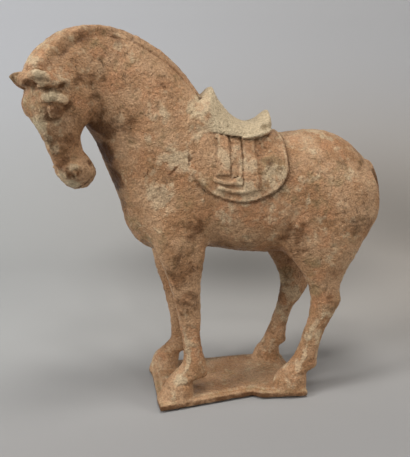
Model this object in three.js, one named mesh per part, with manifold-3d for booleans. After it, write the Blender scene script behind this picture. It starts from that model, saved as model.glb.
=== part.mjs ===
import * as THREE from 'three';
import { ParametricGeometry } from 'three/addons/geometries/ParametricGeometry.js';
import { mergeVertices } from 'three/addons/utils/BufferGeometryUtils.js';
import Module from 'manifold-3d';

// Terracotta horse with a saddle, standing on a thin slab. All of it is one piece of fired clay.
// Millimetres, +Z up. The horse faces -X and its left side faces -Y.
// The origin is the middle of the slab's flat underside.

// Slab: a thin plate cut a little out of square, with a notch in its left side. Corners in plan.
const SLAB_CORNERS = [[-66, -47], [16, -33], [23, -39], [62, -43], [64, 45], [-64, 43]];
const SLAB_THICKNESS = 7;

// Turn of the neck and head to the horse's left, in plan
const TURN_START_X = -40;
const TURN_LENGTH = 112;
const TURN_ANGLE = THREE.MathUtils.degToRad(36);
const TURN_FROM_Z = 145;
const TURN_FULL_Z = 205;

// Saddle cloth and straps: how far each stands out of the flank
const CLOTH_RAISE = 3;
const STRAP_RAISE = 5;

// Each form is a row of sections. A section runs across the form's middle plane, from a point on its
// front or top line to one on its back or under line: [x, z, x, z, half width, middle y].

// Trunk and neck, from the rump to the poll, before the turn
const TRUNK = [
  [129, 178, 131, 156, 12, 0],
  [124.5, 193, 126, 144, 26, 0],
  [114.5, 207, 113.5, 134, 35, 0],
  [100, 219, 95.5, 126, 40, 0],
  [80, 226.3, 74, 123, 42, 0],
  [55, 225.5, 50, 122.5, 41.5, 0],
  [30, 223, 25, 122.5, 41.5, 0],
  [8, 225, 2, 125.5, 41.5, 0],
  [-9, 236, -20, 128.5, 40, 0],
  [-21, 251, -42, 126.5, 38, 0],
  [-30, 263.5, -62, 128, 36, 0],
  [-41, 275.5, -78, 137, 34, 0],
  [-54, 286.5, -86.5, 152, 31, 0],
  [-68, 295.5, -91, 170, 27.5, 0],
  [-84, 302.5, -96.5, 188, 23.5, 0],
  [-100, 305.5, -103, 205, 20.5, 0],
  [-116, 305.5, -110, 221, 18.5, 0],
  [-132, 301, -121, 236, 17, 0],
  [-147, 291, -134, 248, 15.5, 0],
  [-158, 280, -145, 256, 12.5, 0],
];

// Head, from the poll down to the lips, before the turn
const HEAD = [
  [-160, 274, -130, 277, 11, 0],
  [-164, 265.5, -118, 270, 15.5, 0],
  [-166, 256, -113.5, 262, 17.5, 0],
  [-166, 247, -112.5, 254, 17.5, 0],
  [-163.5, 238, -115, 245, 15.5, 0],
  [-158.5, 229, -120.5, 235.5, 13, 0],
  [-154, 219.5, -126, 225.5, 10.6, 0],
  [-150.5, 210.5, -125, 215.5, 9.6, 0],
  [-146.5, 202.5, -118.5, 206.5, 10.4, 0],
  [-142.5, 195, -114, 197.5, 11.2, 0],
  [-137.5, 187.5, -116, 190, 9.6, 0],
  [-133, 184.2, -119, 186.3, 7.5, 0],
];

// Left foreleg, from the shoulder down to the sole
const FORELEG = [
  [-70, 180, -30, 184, 9, -24],
  [-71, 158, -23, 162, 14, -25],
  [-67, 137, -24, 139, 15, -26],
  [-60, 119, -26.5, 119, 13.2, -27],
  [-55, 104, -28.5, 104, 11.2, -27.5],
  [-50.4, 88, -29, 88, 9.4, -28],
  [-47, 72, -29, 72, 8.5, -28.5],
  [-44.4, 58, -28.8, 58, 7.5, -29],
  [-43.2, 46, -27, 46, 7.6, -29.5],
  [-43.4, 38, -24.8, 36.5, 8.2, -30],
  [-47, 31.5, -23.6, 29, 8.6, -30.3],
  [-52, 27.6, -24.6, 23.6, 8.8, -30.5],
  [-56.5, 23, -35.3, 21.2, 9.4, -31],
  [-60.5, 16.5, -36, 14, 11.4, -31.5],
  [-65.5, 7, -36, 6.5, 12.4, -31.5],
  [-66, 3.5, -36, 3.5, 12.4, -31.5],
];

// Right foreleg, which stands a little further forward
const RIGHT_FORELEG = [
  [-70, 180, -30, 184, 9, 24],
  [-71, 158, -23, 162, 14, 25],
  [-67, 137, -24, 139, 15, 26],
  [-61.5, 119, -27, 119, 13.2, 27],
  [-58.5, 104, -29.5, 104, 11.2, 27.5],
  [-53.5, 88, -30, 88, 9.4, 28],
  [-49.5, 72, -30, 72, 8.5, 28.5],
  [-46.5, 58, -30, 58, 7.5, 29],
  [-45.5, 46, -27.5, 45, 7.4, 29.5],
  [-45.8, 37, -25, 34, 7.8, 29.7],
  [-49.5, 30, -25.5, 26, 8, 30],
  [-54, 25.5, -37, 22.5, 8.4, 30],
  [-61, 19, -39, 16, 10, 30.5],
  [-66, 7, -39.5, 6.5, 11.5, 30.5],
  [-66.5, 3.5, -39.5, 3.5, 11.5, 30.5],
];

// Left hind leg, from the hip down to the sole
const HINDLEG = [
  [86, 194, 110, 196, 8, -20],
  [67, 180, 120, 182, 14.5, -23.5],
  [52, 163, 123.5, 162, 17, -25.5],
  [41, 143, 118.5, 145, 17.2, -26.5],
  [44.5, 127, 111, 130, 16, -27],
  [54.3, 114, 103.5, 117, 13, -28],
  [61.6, 103, 97, 105.5, 10.5, -28.5],
  [66.2, 92, 92.5, 96, 9, -29],
  [67.6, 80, 93.6, 82, 8.8, -29.5],
  [66, 68, 87.6, 71.5, 8.3, -30],
  [61.6, 55, 79.7, 57, 7.4, -30],
  [57.3, 43, 75.2, 44, 7.4, -30.5],
  [53.4, 34.5, 73.4, 32, 8.4, -30.5],
  [48.4, 28, 73, 24.6, 8.6, -30.5],
  [42.6, 22.5, 65, 20.8, 9.8, -30.5],
  [37, 15.5, 64.2, 13.5, 11.6, -30.5],
  [34.2, 7, 64, 6.5, 12.6, -30.5],
  [34, 3.5, 64, 3.5, 12.6, -30.5],
];

// Right hind leg, which stands further forward
const RIGHT_HINDLEG = [
  [86, 194, 110, 196, 8, 20],
  [67, 180, 120, 182, 14.5, 23.5],
  [51, 163, 121.5, 162, 17, 25.5],
  [38.5, 143, 116.5, 145, 17.2, 26.5],
  [37.5, 127, 105, 130, 16, 27],
  [45, 114, 95.5, 117, 13, 28],
  [52, 103, 88.5, 105.5, 10.5, 28.5],
  [57, 92, 84, 96, 9, 29],
  [59, 80, 86, 82, 8.8, 29.5],
  [58, 68, 80.5, 71.5, 8.3, 30],
  [54.2, 55, 70.5, 57, 7.2, 30],
  [50, 43, 66.5, 44, 7, 30.5],
  [46.3, 34.5, 65, 31.5, 7.8, 30.5],
  [43, 28, 65.4, 24.6, 8.2, 30.5],
  [39.5, 22, 59.4, 21, 9, 30.5],
  [35.5, 16.5, 59, 14, 10.5, 30.5],
  [32, 7, 59, 6.5, 11.5, 30.5],
  [31.5, 3.5, 59, 3.5, 11.5, 30.5],
];

// Bound tail down the middle of the rump
const TAIL = [
  [121, 202, 110, 200, 4, 0],
  [128.2, 198.5, 116, 193.5, 6.5, 0],
  [134, 188, 121, 185, 7, 0],
  [137.5, 173.5, 123, 172.5, 7, 0],
  [138.3, 158, 123, 158, 7, 0],
  [136, 147.5, 121, 150, 6.8, 0],
  [128.5, 136, 115.5, 141, 6.2, 0],
  [121, 124.5, 109, 129, 5.2, 0],
];

// Cropped mane, a flat band along the crest from the withers to the poll, before the turn
const MANE = [
  [-24, 256, -28, 249, 3.5, 0],
  [-41, 276.6, -46, 270, 5, 0],
  [-68, 297, -71, 289, 6.5, 0],
  [-100, 307.5, -101, 299, 8, 0],
  [-133, 303.5, -128, 294, 9.5, 0],
  [-153, 291, -144, 282, 10, 0],
  [-165, 278.5, -151, 271, 9.5, 0],
  [-168, 270, -152, 264, 7, 0],
];

// Saddle, from the pommel back to the cantle
const SADDLE = [
  [-25, 254.5, -51, 217.5, 32.2, 0],
  [-20, 259, -46, 207, 33, 0],
  [-15, 262.5, -39, 200, 33, 0],
  [-10.5, 254, -28, 200, 33, 0],
  [-3, 244.5, -15, 202.5, 33, 0],
  [6, 237.3, 0, 205.5, 32, 0],
  [15, 234.8, 13, 209.5, 30.5, 0],
  [23, 236.5, 21, 214, 28, 0],
  [29, 240.5, 27, 216.5, 23.5, 0],
  [33, 244, 31, 216.5, 17, 0],
  [35, 240, 34, 218, 9, 0],
];

// Fullness of the flanks under the saddle, from which the cloth and straps hang
const UNDER_SADDLE = [
  [-20, 228, -20, 190, 30, 0],
  [-6, 226, -6, 190, 30, 0],
  [8, 225, 8, 190, 30, 0],
  [20, 225, 20, 190, 29, 0],
  [29, 224, 29, 192, 26, 0],
];

// Lower edge of the saddle in the side view, as [x, z], and a height above the whole saddle
const SADDLE_EDGE = [
  [-60, 228], [-42, 228.5], [-26, 227], [-14, 225.5], [-3, 223.5], [8, 222], [20, 223], [28, 226], [44, 230],
];
const ABOVE_SADDLE = 280;

// Left ear, a folded leaf that points forward, before the turn
const EAR = [
  [-145, 266.5, -146, 260.5, 3, -12.5],
  [-152, 269.5, -152, 260, 4.6, -13.5],
  [-160, 272, -160, 259.5, 5, -14.8],
  [-167, 271.5, -166, 261.5, 4, -14.5],
  [-172.5, 269.5, -172.5, 266.5, 1.6, -13],
];

// Hollow of an ear against the ear itself: how far back and outward it lies, the rims above and below it,
// and its share of the ear's width
const HOLLOW_BACK = 1;
const HOLLOW_OUTWARD = 4.2;
const HOLLOW_TOP_RIM = 2.2;
const HOLLOW_BOTTOM_RIM = 2.6;
const HOLLOW_WIDTH = 0.7;

// Folds of cloth below the straps: [left x, right x, z of the right end]
const FOLDS = [[-18.5, -1, 188], [-9, 10, 180]];
const FOLD_THICKNESS = 2.6;
const FOLD_SAG = 4;

// Straps that hang below the saddle: [left x, right x, z of the foot]
const STRAPS = [[-17, -8.5, 194], [-6.5, 2.5, 187], [4, 13.5, 181]];
const STRAP_TOP_Z = 232;
const STRAP_FLARE = 1.5;
const CURVE_STEPS = 10;

// Soft lumps on the left of the head, before the turn: [x, y, z, radius in x, y, z]
const BROW = [-154, -14, 253.5, 9.5, 5, 4.8];
const EYE = [-154, -14.5, 245, 8, 4.6, 4.6];
const NOSTRIL = [-141, -11.5, 195.5, 3.4, 4, 3];
const LUMP_SIDES = 12;
const LUMP_RINGS = 8;

// Shape of the sections: 1 is an ellipse and less is boxier, and how much narrower the front or top is
const TRUNK_FULLNESS = 0.9;
const HEAD_FULLNESS = 0.86;
const LEG_FULLNESS = 0.92;
const BAND_FULLNESS = 0.75;
const UNDER_SADDLE_FULLNESS = 0.6;
const TRUNK_TAPER = 0.04;
const NECK_TAPER = 0.22;
const HEAD_TAPER = 0.2;

// What the joins may leave: the shortest edge, and the least height of a triangle
const SHORTEST_EDGE = 0.06;
const THINNEST_TRIANGLE = 0.02;
const SLIVER_PASSES = 4;

const wasm = await Module();
wasm.setup();

// A closed geometry as a solid that can be joined and cut
function solid(geometry) {
  const bare = geometry.clone();
  bare.deleteAttribute('normal');
  bare.deleteAttribute('uv');
  const merged = mergeVertices(bare, 1e-4);
  const index = merged.index.array;
  const corners = [];
  for (let i = 0; i < index.length; i += 3) {
    const [a, b, c] = [index[i], index[i + 1], index[i + 2]];
    if (a !== b && b !== c && c !== a) corners.push(a, b, c);
  }
  const closed = (triVerts) => new wasm.Manifold(new wasm.Mesh({
    numProp: 3,
    vertProperties: new Float32Array(merged.attributes.position.array),
    triVerts: new Uint32Array(triVerts),
  }));
  const shape = closed(corners);
  return shape.volume() > 0 ? shape : closed(corners.reverse());
}

// Draws the two ends of every very short edge together
function withoutShortEdges(corners, at) {
  const joined = new Map();
  const rootOf = (k) => (joined.has(k) ? rootOf(joined.get(k)) : k);
  corners.forEach((corner, i) => {
    const a = rootOf(corner);
    const b = rootOf(corners[i % 3 === 2 ? i - 2 : i + 1]);
    if (a !== b && at(a).distanceTo(at(b)) < SHORTEST_EDGE) joined.set(b, a);
  });
  const kept = [];
  for (let i = 0; i < corners.length; i += 3) {
    const [a, b, c] = corners.slice(i, i + 3).map(rootOf);
    if (a !== b && b !== c && c !== a) kept.push(a, b, c);
  }
  return kept;
}

// Turns the long edge of every sliver the other way, so that its two triangles have some width
function withoutSlivers(corners, at) {
  const owner = new Map();
  const edge = (a, b) => `${a} ${b}`;
  corners.forEach((a, i) => owner.set(edge(a, corners[i % 3 === 2 ? i - 2 : i + 1]), i));
  const touched = new Set();
  for (let i = 0; i < corners.length; i += 3) {
    const sides = [0, 1, 2].map((k) => [0, 1, 2].map((n) => corners[i + ((k + n) % 3)]));
    const length = ([a, b]) => at(a).distanceTo(at(b));
    const [a, b, c] = sides.reduce((longest, side) => (length(side) > length(longest) ? side : longest));
    const area = at(b).sub(at(a)).cross(at(c).sub(at(a))).length() / 2;
    const other = owner.get(edge(b, a));
    const next = 3 * Math.floor(other / 3);
    const d = corners[next + ((other + 2) % 3)];
    const taken = owner.has(edge(c, d)) || owner.has(edge(d, c));
    const wide = (2 * area) / length([a, b]) > THINNEST_TRIANGLE;
    if (wide || taken || touched.has(i) || touched.has(next)) continue;
    corners.splice(i, 3, c, a, d);
    corners.splice(next, 3, d, b, c);
    touched.add(i).add(next);
  }
  return corners;
}

// A solid back as a three.js geometry, free of the slivers that joins leave
function geometryOf(shape) {
  const mesh = shape.getMesh();
  const at = (k) => new THREE.Vector3().fromArray(mesh.vertProperties, 3 * k);
  let corners = Array.from(mesh.triVerts);
  for (let pass = 0; pass < SLIVER_PASSES; pass += 1) {
    corners = withoutSlivers(withoutShortEdges(corners, at), at);
  }
  const geometry = new THREE.BufferGeometry();
  geometry.setAttribute('position', new THREE.BufferAttribute(Float32Array.from(mesh.vertProperties), 3));
  geometry.setIndex(corners);
  geometry.computeVertexNormals();
  return geometry;
}

// A smooth value between four neighbours
function between(a, b, c, d, t) {
  const slope0 = (c - a) / 2;
  const slope1 = (d - b) / 2;
  const t2 = t * t;
  const t3 = t2 * t;
  return (2 * t3 - 3 * t2 + 1) * b + (t3 - 2 * t2 + t) * slope0 + (3 * t2 - 2 * t3) * c + (t3 - t2) * slope1;
}

// The section at a place along a row of sections, with every size interpolated
function sectionAt(rows, place) {
  const last = rows.length - 1;
  const i = Math.min(Math.floor(place), last - 1);
  const t = place - i;
  const row = (k) => rows[THREE.MathUtils.clamp(k, 0, last)];
  return rows[i].map((_, k) => between(row(i - 1)[k], row(i)[k], row(i + 1)[k], row(i + 2)[k], t));
}

// Bends a point of the neck or head to the horse's left
function turned(point) {
  const ahead = TURN_START_X - point.x;
  if (ahead <= 0) return point;
  const bend = TURN_ANGLE / TURN_LENGTH;
  const angle = bend * Math.min(ahead, TURN_LENGTH);
  const past = Math.max(ahead - TURN_LENGTH, 0);
  const side = -point.y;
  const x = TURN_START_X - Math.sin(angle) / bend - Math.cos(angle) * past + Math.sin(angle) * side;
  const y = -(1 - Math.cos(angle)) / bend - Math.sin(angle) * past - Math.cos(angle) * side;
  const amount = THREE.MathUtils.smoothstep(point.z, TURN_FROM_Z, TURN_FULL_Z);
  point.x = THREE.MathUtils.lerp(point.x, x, amount);
  point.y = THREE.MathUtils.lerp(point.y, y, amount);
  return point;
}

// A form through its sections. Both ends are domes of the given heights, and flat where that is 0.
function form(rows, { sides, perRow, ends, fullness = 1, taper = () => 0, grow = 0, place = (p) => p }) {
  const domeRings = 2;
  const rings = (rows.length - 1) * perRow;
  const steps = rings + 2 * domeRings;
  const first = sectionAt(rows, 0);
  const last = sectionAt(rows, rows.length - 1);
  const middle = (s) => new THREE.Vector3((s[0] + s[2]) / 2, s[5], (s[1] + s[3]) / 2);
  const outStart = middle(first).sub(middle(sectionAt(rows, 0.2))).normalize();
  const outEnd = middle(last).sub(middle(sectionAt(rows, rows.length - 1.2))).normalize();
  const geometry = new ParametricGeometry((u, v, target) => {
    const step = Math.round(v * steps);
    const inStart = Math.max(domeRings - step, 0) / domeRings;
    const inEnd = Math.max(step - domeRings - rings, 0) / domeRings;
    const along = THREE.MathUtils.clamp((step - domeRings) / perRow, 0, rows.length - 1);
    const s = sectionAt(rows, along);
    const size = Math.cos((inStart + inEnd) * Math.PI / 2);
    const centre = middle(s);
    const reach = new THREE.Vector3((s[0] - s[2]) / 2, 0, (s[1] - s[3]) / 2);
    reach.setLength(reach.length() + grow);
    const turn = u * Math.PI * 2;
    const round = (value) => Math.sign(value) * Math.abs(value) ** fullness;
    target.copy(centre).addScaledVector(reach, round(Math.cos(turn)) * size);
    target.y += (s[4] + grow) * round(Math.sin(turn)) * size * (1 - taper(along) * Math.cos(turn));
    target.addScaledVector(outStart, ends[0] * Math.sin(inStart * Math.PI / 2));
    target.addScaledVector(outEnd, ends[1] * Math.sin(inEnd * Math.PI / 2));
    place(target);
  }, sides, steps);
  return solid(geometry);
}

// An outline in the side view, drawn through the whole width
function throughWidth(shape) {
  const halfWidth = 60;
  const options = { depth: 2 * halfWidth, bevelEnabled: false, curveSegments: CURVE_STEPS };
  const geometry = new THREE.ExtrudeGeometry(shape, options);
  geometry.rotateX(Math.PI / 2);
  geometry.translate(0, halfWidth, 0);
  return solid(geometry);
}

function slab() {
  const corners = SLAB_CORNERS.map(([x, y]) => new THREE.Vector2(x, y));
  const options = { depth: SLAB_THICKNESS, bevelEnabled: false };
  return solid(new THREE.ExtrudeGeometry(new THREE.Shape(corners), options));
}

// The same rows on the horse's right side
function mirrored(rows) {
  return rows.map(([ax, az, bx, bz, half, y]) => [ax, az, bx, bz, half, -y]);
}

// Everything above the saddle's lower edge, in the side view
function aboveSaddleEdge() {
  const points = SADDLE_EDGE.map(([x, z]) => new THREE.Vector2(x, z));
  const ends = [points[points.length - 1], points[0]];
  return new THREE.Shape([...points, ...ends.map((point) => new THREE.Vector2(point.x, ABOVE_SADDLE))]);
}

// The outline of the saddle cloth in the side view, straight on top where the saddle covers it
function clothOutline() {
  const shape = new THREE.Shape();
  shape.moveTo(-38, 238);
  shape.lineTo(-38, 205);
  shape.bezierCurveTo(-37, 185, -15, 172, 5, 172.5);
  shape.bezierCurveTo(20, 173, 41, 182, 41, 200);
  shape.lineTo(41, 238);
  shape.closePath();
  return shape;
}

// A strap that hangs below the saddle, a little wider at its foot
function strapOutline(left, right, foot) {
  const shape = new THREE.Shape();
  shape.moveTo(left, STRAP_TOP_Z);
  shape.lineTo(left - STRAP_FLARE, foot);
  shape.lineTo(right + STRAP_FLARE, foot);
  shape.lineTo(right, STRAP_TOP_Z);
  shape.closePath();
  return shape;
}

// A fold of cloth that sags between two ends
function foldOutline(left, right, z) {
  const middle = (left + right) / 2;
  const shape = new THREE.Shape();
  shape.moveTo(left, z + FOLD_SAG);
  shape.quadraticCurveTo(middle, z - FOLD_SAG, right, z);
  shape.lineTo(right, z + FOLD_THICKNESS);
  shape.quadraticCurveTo(middle, z - FOLD_SAG + FOLD_THICKNESS, left, z + FOLD_SAG + FOLD_THICKNESS);
  shape.closePath();
  return shape;
}

// A soft lump on one side of the head
function lump([x, y, z, rx, ry, rz], side) {
  const geometry = new THREE.SphereGeometry(1, LUMP_SIDES, LUMP_RINGS);
  geometry.scale(rx, ry, rz);
  geometry.translate(x, y * side, z);
  const positions = geometry.attributes.position;
  for (let i = 0; i < positions.count; i += 1) {
    const point = turned(new THREE.Vector3().fromBufferAttribute(positions, i));
    positions.setXYZ(i, point.x, point.y, point.z);
  }
  return solid(geometry);
}

// The rows of the hollow of an ear, cut into its outer side
function earHollow(rows) {
  return rows.slice(1, -1).map(([ax, az, bx, bz, half, y]) => [
    ax + HOLLOW_BACK,
    az - HOLLOW_TOP_RIM,
    bx + HOLLOW_BACK,
    bz + HOLLOW_BOTTOM_RIM,
    half * HOLLOW_WIDTH,
    y + Math.sign(y) * HOLLOW_OUTWARD,
  ]);
}

// Trunk and neck, grown outward by the given thickness
function trunk(grow) {
  const withers = 9;
  const upperNeck = 14;
  const taper = (along) => THREE.MathUtils.lerp(
    TRUNK_TAPER, NECK_TAPER, THREE.MathUtils.smoothstep(along, withers, upperNeck),
  );
  const body = form(TRUNK, {
    sides: 26, perRow: 2, ends: [5, 4], fullness: TRUNK_FULLNESS, taper, grow, place: turned,
  });
  const fullness = UNDER_SADDLE_FULLNESS;
  return body.add(form(UNDER_SADDLE, { sides: 20, perRow: 1, ends: [2, 2], fullness, grow }));
}

function saddle() {
  return form(SADDLE, { sides: 20, perRow: 2, ends: [1, 0.5] }).intersect(throughWidth(aboveSaddleEdge()));
}

function head() {
  const taper = () => HEAD_TAPER;
  return form(HEAD, { sides: 20, perRow: 2, ends: [3, 2], fullness: HEAD_FULLNESS, taper, place: turned });
}

function ear(rows) {
  const leaf = form(rows, { sides: 10, perRow: 2, ends: [1, 1], place: turned });
  const hollow = form(earHollow(rows), { sides: 8, perRow: 1, ends: [1, 1], place: turned });
  return leaf.subtract(hollow);
}

function leg(rows) {
  return form(rows, { sides: 12, perRow: 1, ends: [4, 0], fullness: LEG_FULLNESS });
}

// The cloth, straps and folds, raised out of the flanks
function saddlery() {
  const cloth = trunk(CLOTH_RAISE).intersect(throughWidth(clothOutline()));
  const raised = trunk(STRAP_RAISE);
  const outlines = [
    ...STRAPS.map((strap) => strapOutline(...strap)),
    ...FOLDS.map((fold) => foldOutline(...fold)),
  ];
  return outlines.reduce((whole, outline) => whole.add(raised.intersect(throughWidth(outline))), cloth);
}

const parts = [
  slab(),
  head(),
  form(MANE, { sides: 8, perRow: 2, ends: [0, 1], fullness: BAND_FULLNESS, place: turned }),
  form(TAIL, { sides: 8, perRow: 1, ends: [0, 2], fullness: BAND_FULLNESS }),
  saddle(),
  ear(EAR),
  ear(mirrored(EAR)),
  leg(FORELEG),
  leg(RIGHT_FORELEG),
  leg(HINDLEG),
  leg(RIGHT_HINDLEG),
  saddlery(),
];
for (const side of [1, -1]) {
  parts.push(lump(BROW, side), lump(EYE, side));
}
let horse = parts.reduce((whole, part) => whole.add(part), trunk(0));
for (const side of [1, -1]) {
  horse = horse.subtract(lump(NOSTRIL, side));
}

const clay = new THREE.MeshStandardMaterial({ color: 0xb48c66, roughness: 0.92, metalness: 0 });
const figure = new THREE.Mesh(geometryOf(horse), clay);
figure.name = 'horse_figure';

const group = new THREE.Group();
group.add(figure);
export default group;
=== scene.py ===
import math

import bpy
import numpy as np
import openvdb
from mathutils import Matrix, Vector


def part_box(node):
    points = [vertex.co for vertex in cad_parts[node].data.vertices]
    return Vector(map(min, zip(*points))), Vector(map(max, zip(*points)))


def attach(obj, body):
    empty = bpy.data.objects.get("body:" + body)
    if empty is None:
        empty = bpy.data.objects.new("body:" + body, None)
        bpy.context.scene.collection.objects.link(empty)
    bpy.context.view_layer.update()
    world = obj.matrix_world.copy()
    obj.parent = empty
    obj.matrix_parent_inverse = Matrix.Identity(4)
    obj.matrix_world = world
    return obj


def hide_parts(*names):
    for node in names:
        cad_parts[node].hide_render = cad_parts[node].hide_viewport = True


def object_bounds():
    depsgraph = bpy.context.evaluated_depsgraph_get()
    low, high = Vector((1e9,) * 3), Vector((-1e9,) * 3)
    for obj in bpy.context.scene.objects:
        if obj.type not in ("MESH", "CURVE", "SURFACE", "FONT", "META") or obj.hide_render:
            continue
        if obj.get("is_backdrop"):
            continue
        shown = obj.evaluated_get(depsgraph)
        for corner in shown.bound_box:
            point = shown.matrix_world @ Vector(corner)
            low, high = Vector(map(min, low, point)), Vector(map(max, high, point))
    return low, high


MM = 0.001

# Modelling grid: the distance between its points, how far from a surface distances are known, the room
# around the figure, and the triangles that the finished mesh may have
VOXEL = 1.0
REACH = 12.0
MARGIN = 8.0
TRIANGLES = 190_000

# Slab: corners in plan, thickness and the rounding of its edges
SLAB_CORNERS = [(-66, -47), (16, -33), (23, -39), (62, -43), (64, 45), (-64, 43)]
SLAB_THICKNESS = 7
SLAB_ROUND = 1
SLAB_FOOT_HEIGHT = 1.6
SLAB_FOOT_INSET = 5
UNDERSIDE_BAND = 0.8

# Turn of the neck and head to the horse's left, in plan
TURN_START_X = -40
TURN_LENGTH = 112
TURN_ANGLE = math.radians(36)
TURN_FROM_Z = 145
TURN_FULL_Z = 205

# How far the cloth, its rim, the straps and the folds stand out of the flank
CLOTH_RAISE = 2.6
RIM_RAISE = 3.3
STRAP_RAISE = 4.4
FOLD_RAISE = 4.6
FOLD_WIDTH = 3.2

# Each form is a row of sections. A section runs across the form's middle plane, from a point on its
# front or top line to one on its back or under line: (x, z, x, z, half width, middle y). The right legs
# share the upper sections of the left ones.
TRUNK = [
    (129, 178, 131, 156, 12, 0), (124.5, 193, 126, 144, 26, 0), (114.5, 207, 113.5, 134, 35, 0),
    (100, 219, 95.5, 126, 40, 0), (80, 226.3, 74, 123, 42, 0), (55, 225.5, 50, 122.5, 41.5, 0),
    (30, 223, 25, 122.5, 41.5, 0), (8, 225, 2, 125.5, 41.5, 0), (-9, 236, -20, 128.5, 40, 0),
    (-21, 251, -42, 126.5, 38, 0), (-30, 263.5, -62, 128, 36, 0), (-41, 275.5, -78, 137, 34, 0),
    (-54, 286.5, -86.5, 152, 31, 0), (-68, 295.5, -91, 170, 27.5, 0), (-84, 302.5, -96.5, 188, 23.5, 0),
    (-100, 305.5, -103, 205, 20.5, 0), (-116, 305.5, -110, 221, 18.5, 0), (-132, 301, -121, 236, 17, 0),
    (-147, 291, -134, 248, 15.5, 0), (-158, 280, -145, 256, 12.5, 0),
]
HEAD = [
    (-160, 274, -130, 277, 11, 0), (-164, 265.5, -118, 270, 15.5, 0), (-166, 256, -113.5, 262, 17.5, 0),
    (-166, 247, -112.5, 254, 17.5, 0), (-163.5, 238, -115, 245, 15.5, 0),
    (-158.5, 229, -120.5, 235.5, 13, 0), (-154, 219.5, -126, 225.5, 10.6, 0),
    (-150.5, 210.5, -125, 215.5, 9.6, 0), (-146.5, 202.5, -118.5, 206.5, 10.4, 0),
    (-142.5, 195, -114, 197.5, 11.2, 0), (-137.5, 187.5, -116, 190, 9.6, 0),
    (-133, 184.2, -119, 186.3, 7.5, 0),
]
FORELEG = [
    (-70, 180, -30, 184, 9, -24), (-71, 158, -23, 162, 14, -25), (-67, 137, -24, 139, 15, -26),
    (-60, 119, -26.5, 119, 13.2, -27), (-55, 104, -28.5, 104, 11.2, -27.5),
    (-50.4, 88, -29, 88, 9.4, -28), (-47, 72, -29, 72, 8.5, -28.5), (-44.4, 58, -28.8, 58, 7.5, -29),
    (-43.2, 46, -27, 46, 7.6, -29.5), (-43.4, 38, -24.8, 36.5, 8.2, -30),
    (-47, 31.5, -23.6, 29, 8.6, -30.3), (-52, 27.6, -24.6, 23.6, 8.8, -30.5),
    (-56.5, 23, -35.3, 21.2, 9.4, -31), (-60.5, 16.5, -36, 14, 11.4, -31.5),
    (-65.5, 7, -36, 6.5, 12.4, -31.5), (-66, 3.5, -36, 3.5, 12.4, -31.5),
]
LOWER_RIGHT_FORELEG = [
    (-61.5, 119, -27, 119, 13.2, 27), (-58.5, 104, -29.5, 104, 11.2, 27.5), (-53.5, 88, -30, 88, 9.4, 28),
    (-49.5, 72, -30, 72, 8.5, 28.5), (-46.5, 58, -30, 58, 7.5, 29), (-45.5, 46, -27.5, 45, 7.4, 29.5),
    (-45.8, 37, -25, 34, 7.8, 29.7), (-49.5, 30, -25.5, 26, 8, 30), (-54, 25.5, -37, 22.5, 8.4, 30),
    (-61, 19, -39, 16, 10, 30.5), (-66, 7, -39.5, 6.5, 11.5, 30.5), (-66.5, 3.5, -39.5, 3.5, 11.5, 30.5),
]
HINDLEG = [
    (86, 194, 110, 196, 8, -20), (67, 180, 120, 182, 14.5, -23.5), (52, 163, 123.5, 162, 17, -25.5),
    (41, 143, 118.5, 145, 17.2, -26.5), (44.5, 127, 111, 130, 16, -27), (54.3, 114, 103.5, 117, 13, -28),
    (61.6, 103, 97, 105.5, 10.5, -28.5), (66.2, 92, 92.5, 96, 9, -29), (67.6, 80, 93.6, 82, 8.8, -29.5),
    (66, 68, 87.6, 71.5, 8.3, -30), (61.6, 55, 79.7, 57, 7.4, -30), (57.3, 43, 75.2, 44, 7.4, -30.5),
    (53.4, 34.5, 73.4, 32, 8.4, -30.5), (48.4, 28, 73, 24.6, 8.6, -30.5),
    (42.6, 22.5, 65, 20.8, 9.8, -30.5), (37, 15.5, 64.2, 13.5, 11.6, -30.5),
    (34.2, 7, 64, 6.5, 12.6, -30.5), (34, 3.5, 64, 3.5, 12.6, -30.5),
]
LOWER_RIGHT_HINDLEG = [
    (51, 163, 121.5, 162, 17, 25.5), (38.5, 143, 116.5, 145, 17.2, 26.5), (37.5, 127, 105, 130, 16, 27),
    (45, 114, 95.5, 117, 13, 28), (52, 103, 88.5, 105.5, 10.5, 28.5), (57, 92, 84, 96, 9, 29),
    (59, 80, 86, 82, 8.8, 29.5), (58, 68, 80.5, 71.5, 8.3, 30), (54.2, 55, 70.5, 57, 7.2, 30),
    (50, 43, 66.5, 44, 7, 30.5), (46.3, 34.5, 65, 31.5, 7.8, 30.5), (43, 28, 65.4, 24.6, 8.2, 30.5),
    (39.5, 22, 59.4, 21, 9, 30.5), (35.5, 16.5, 59, 14, 10.5, 30.5), (32, 7, 59, 6.5, 11.5, 30.5),
    (31.5, 3.5, 59, 3.5, 11.5, 30.5),
]
TAIL = [
    (121, 202, 110, 200, 4, 0), (128.2, 198.5, 116, 193.5, 6.5, 0), (134, 188, 121, 185, 7, 0),
    (137.5, 173.5, 123, 172.5, 7, 0), (138.3, 158, 123, 158, 7, 0), (136, 147.5, 121, 150, 6.8, 0),
    (128.5, 136, 115.5, 141, 6.2, 0), (121, 124.5, 109, 129, 5.2, 0),
]
MANE = [
    (-24, 256, -28, 249, 3.5, 0), (-41, 276.6, -46, 270, 5, 0), (-68, 297, -71, 289, 6.5, 0),
    (-100, 307.5, -101, 299, 8, 0), (-133, 303.5, -128, 294, 9.5, 0), (-153, 291, -144, 282, 10, 0),
    (-165, 278.5, -151, 271, 9.5, 0), (-168, 270, -152, 264, 7, 0),
]
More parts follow.
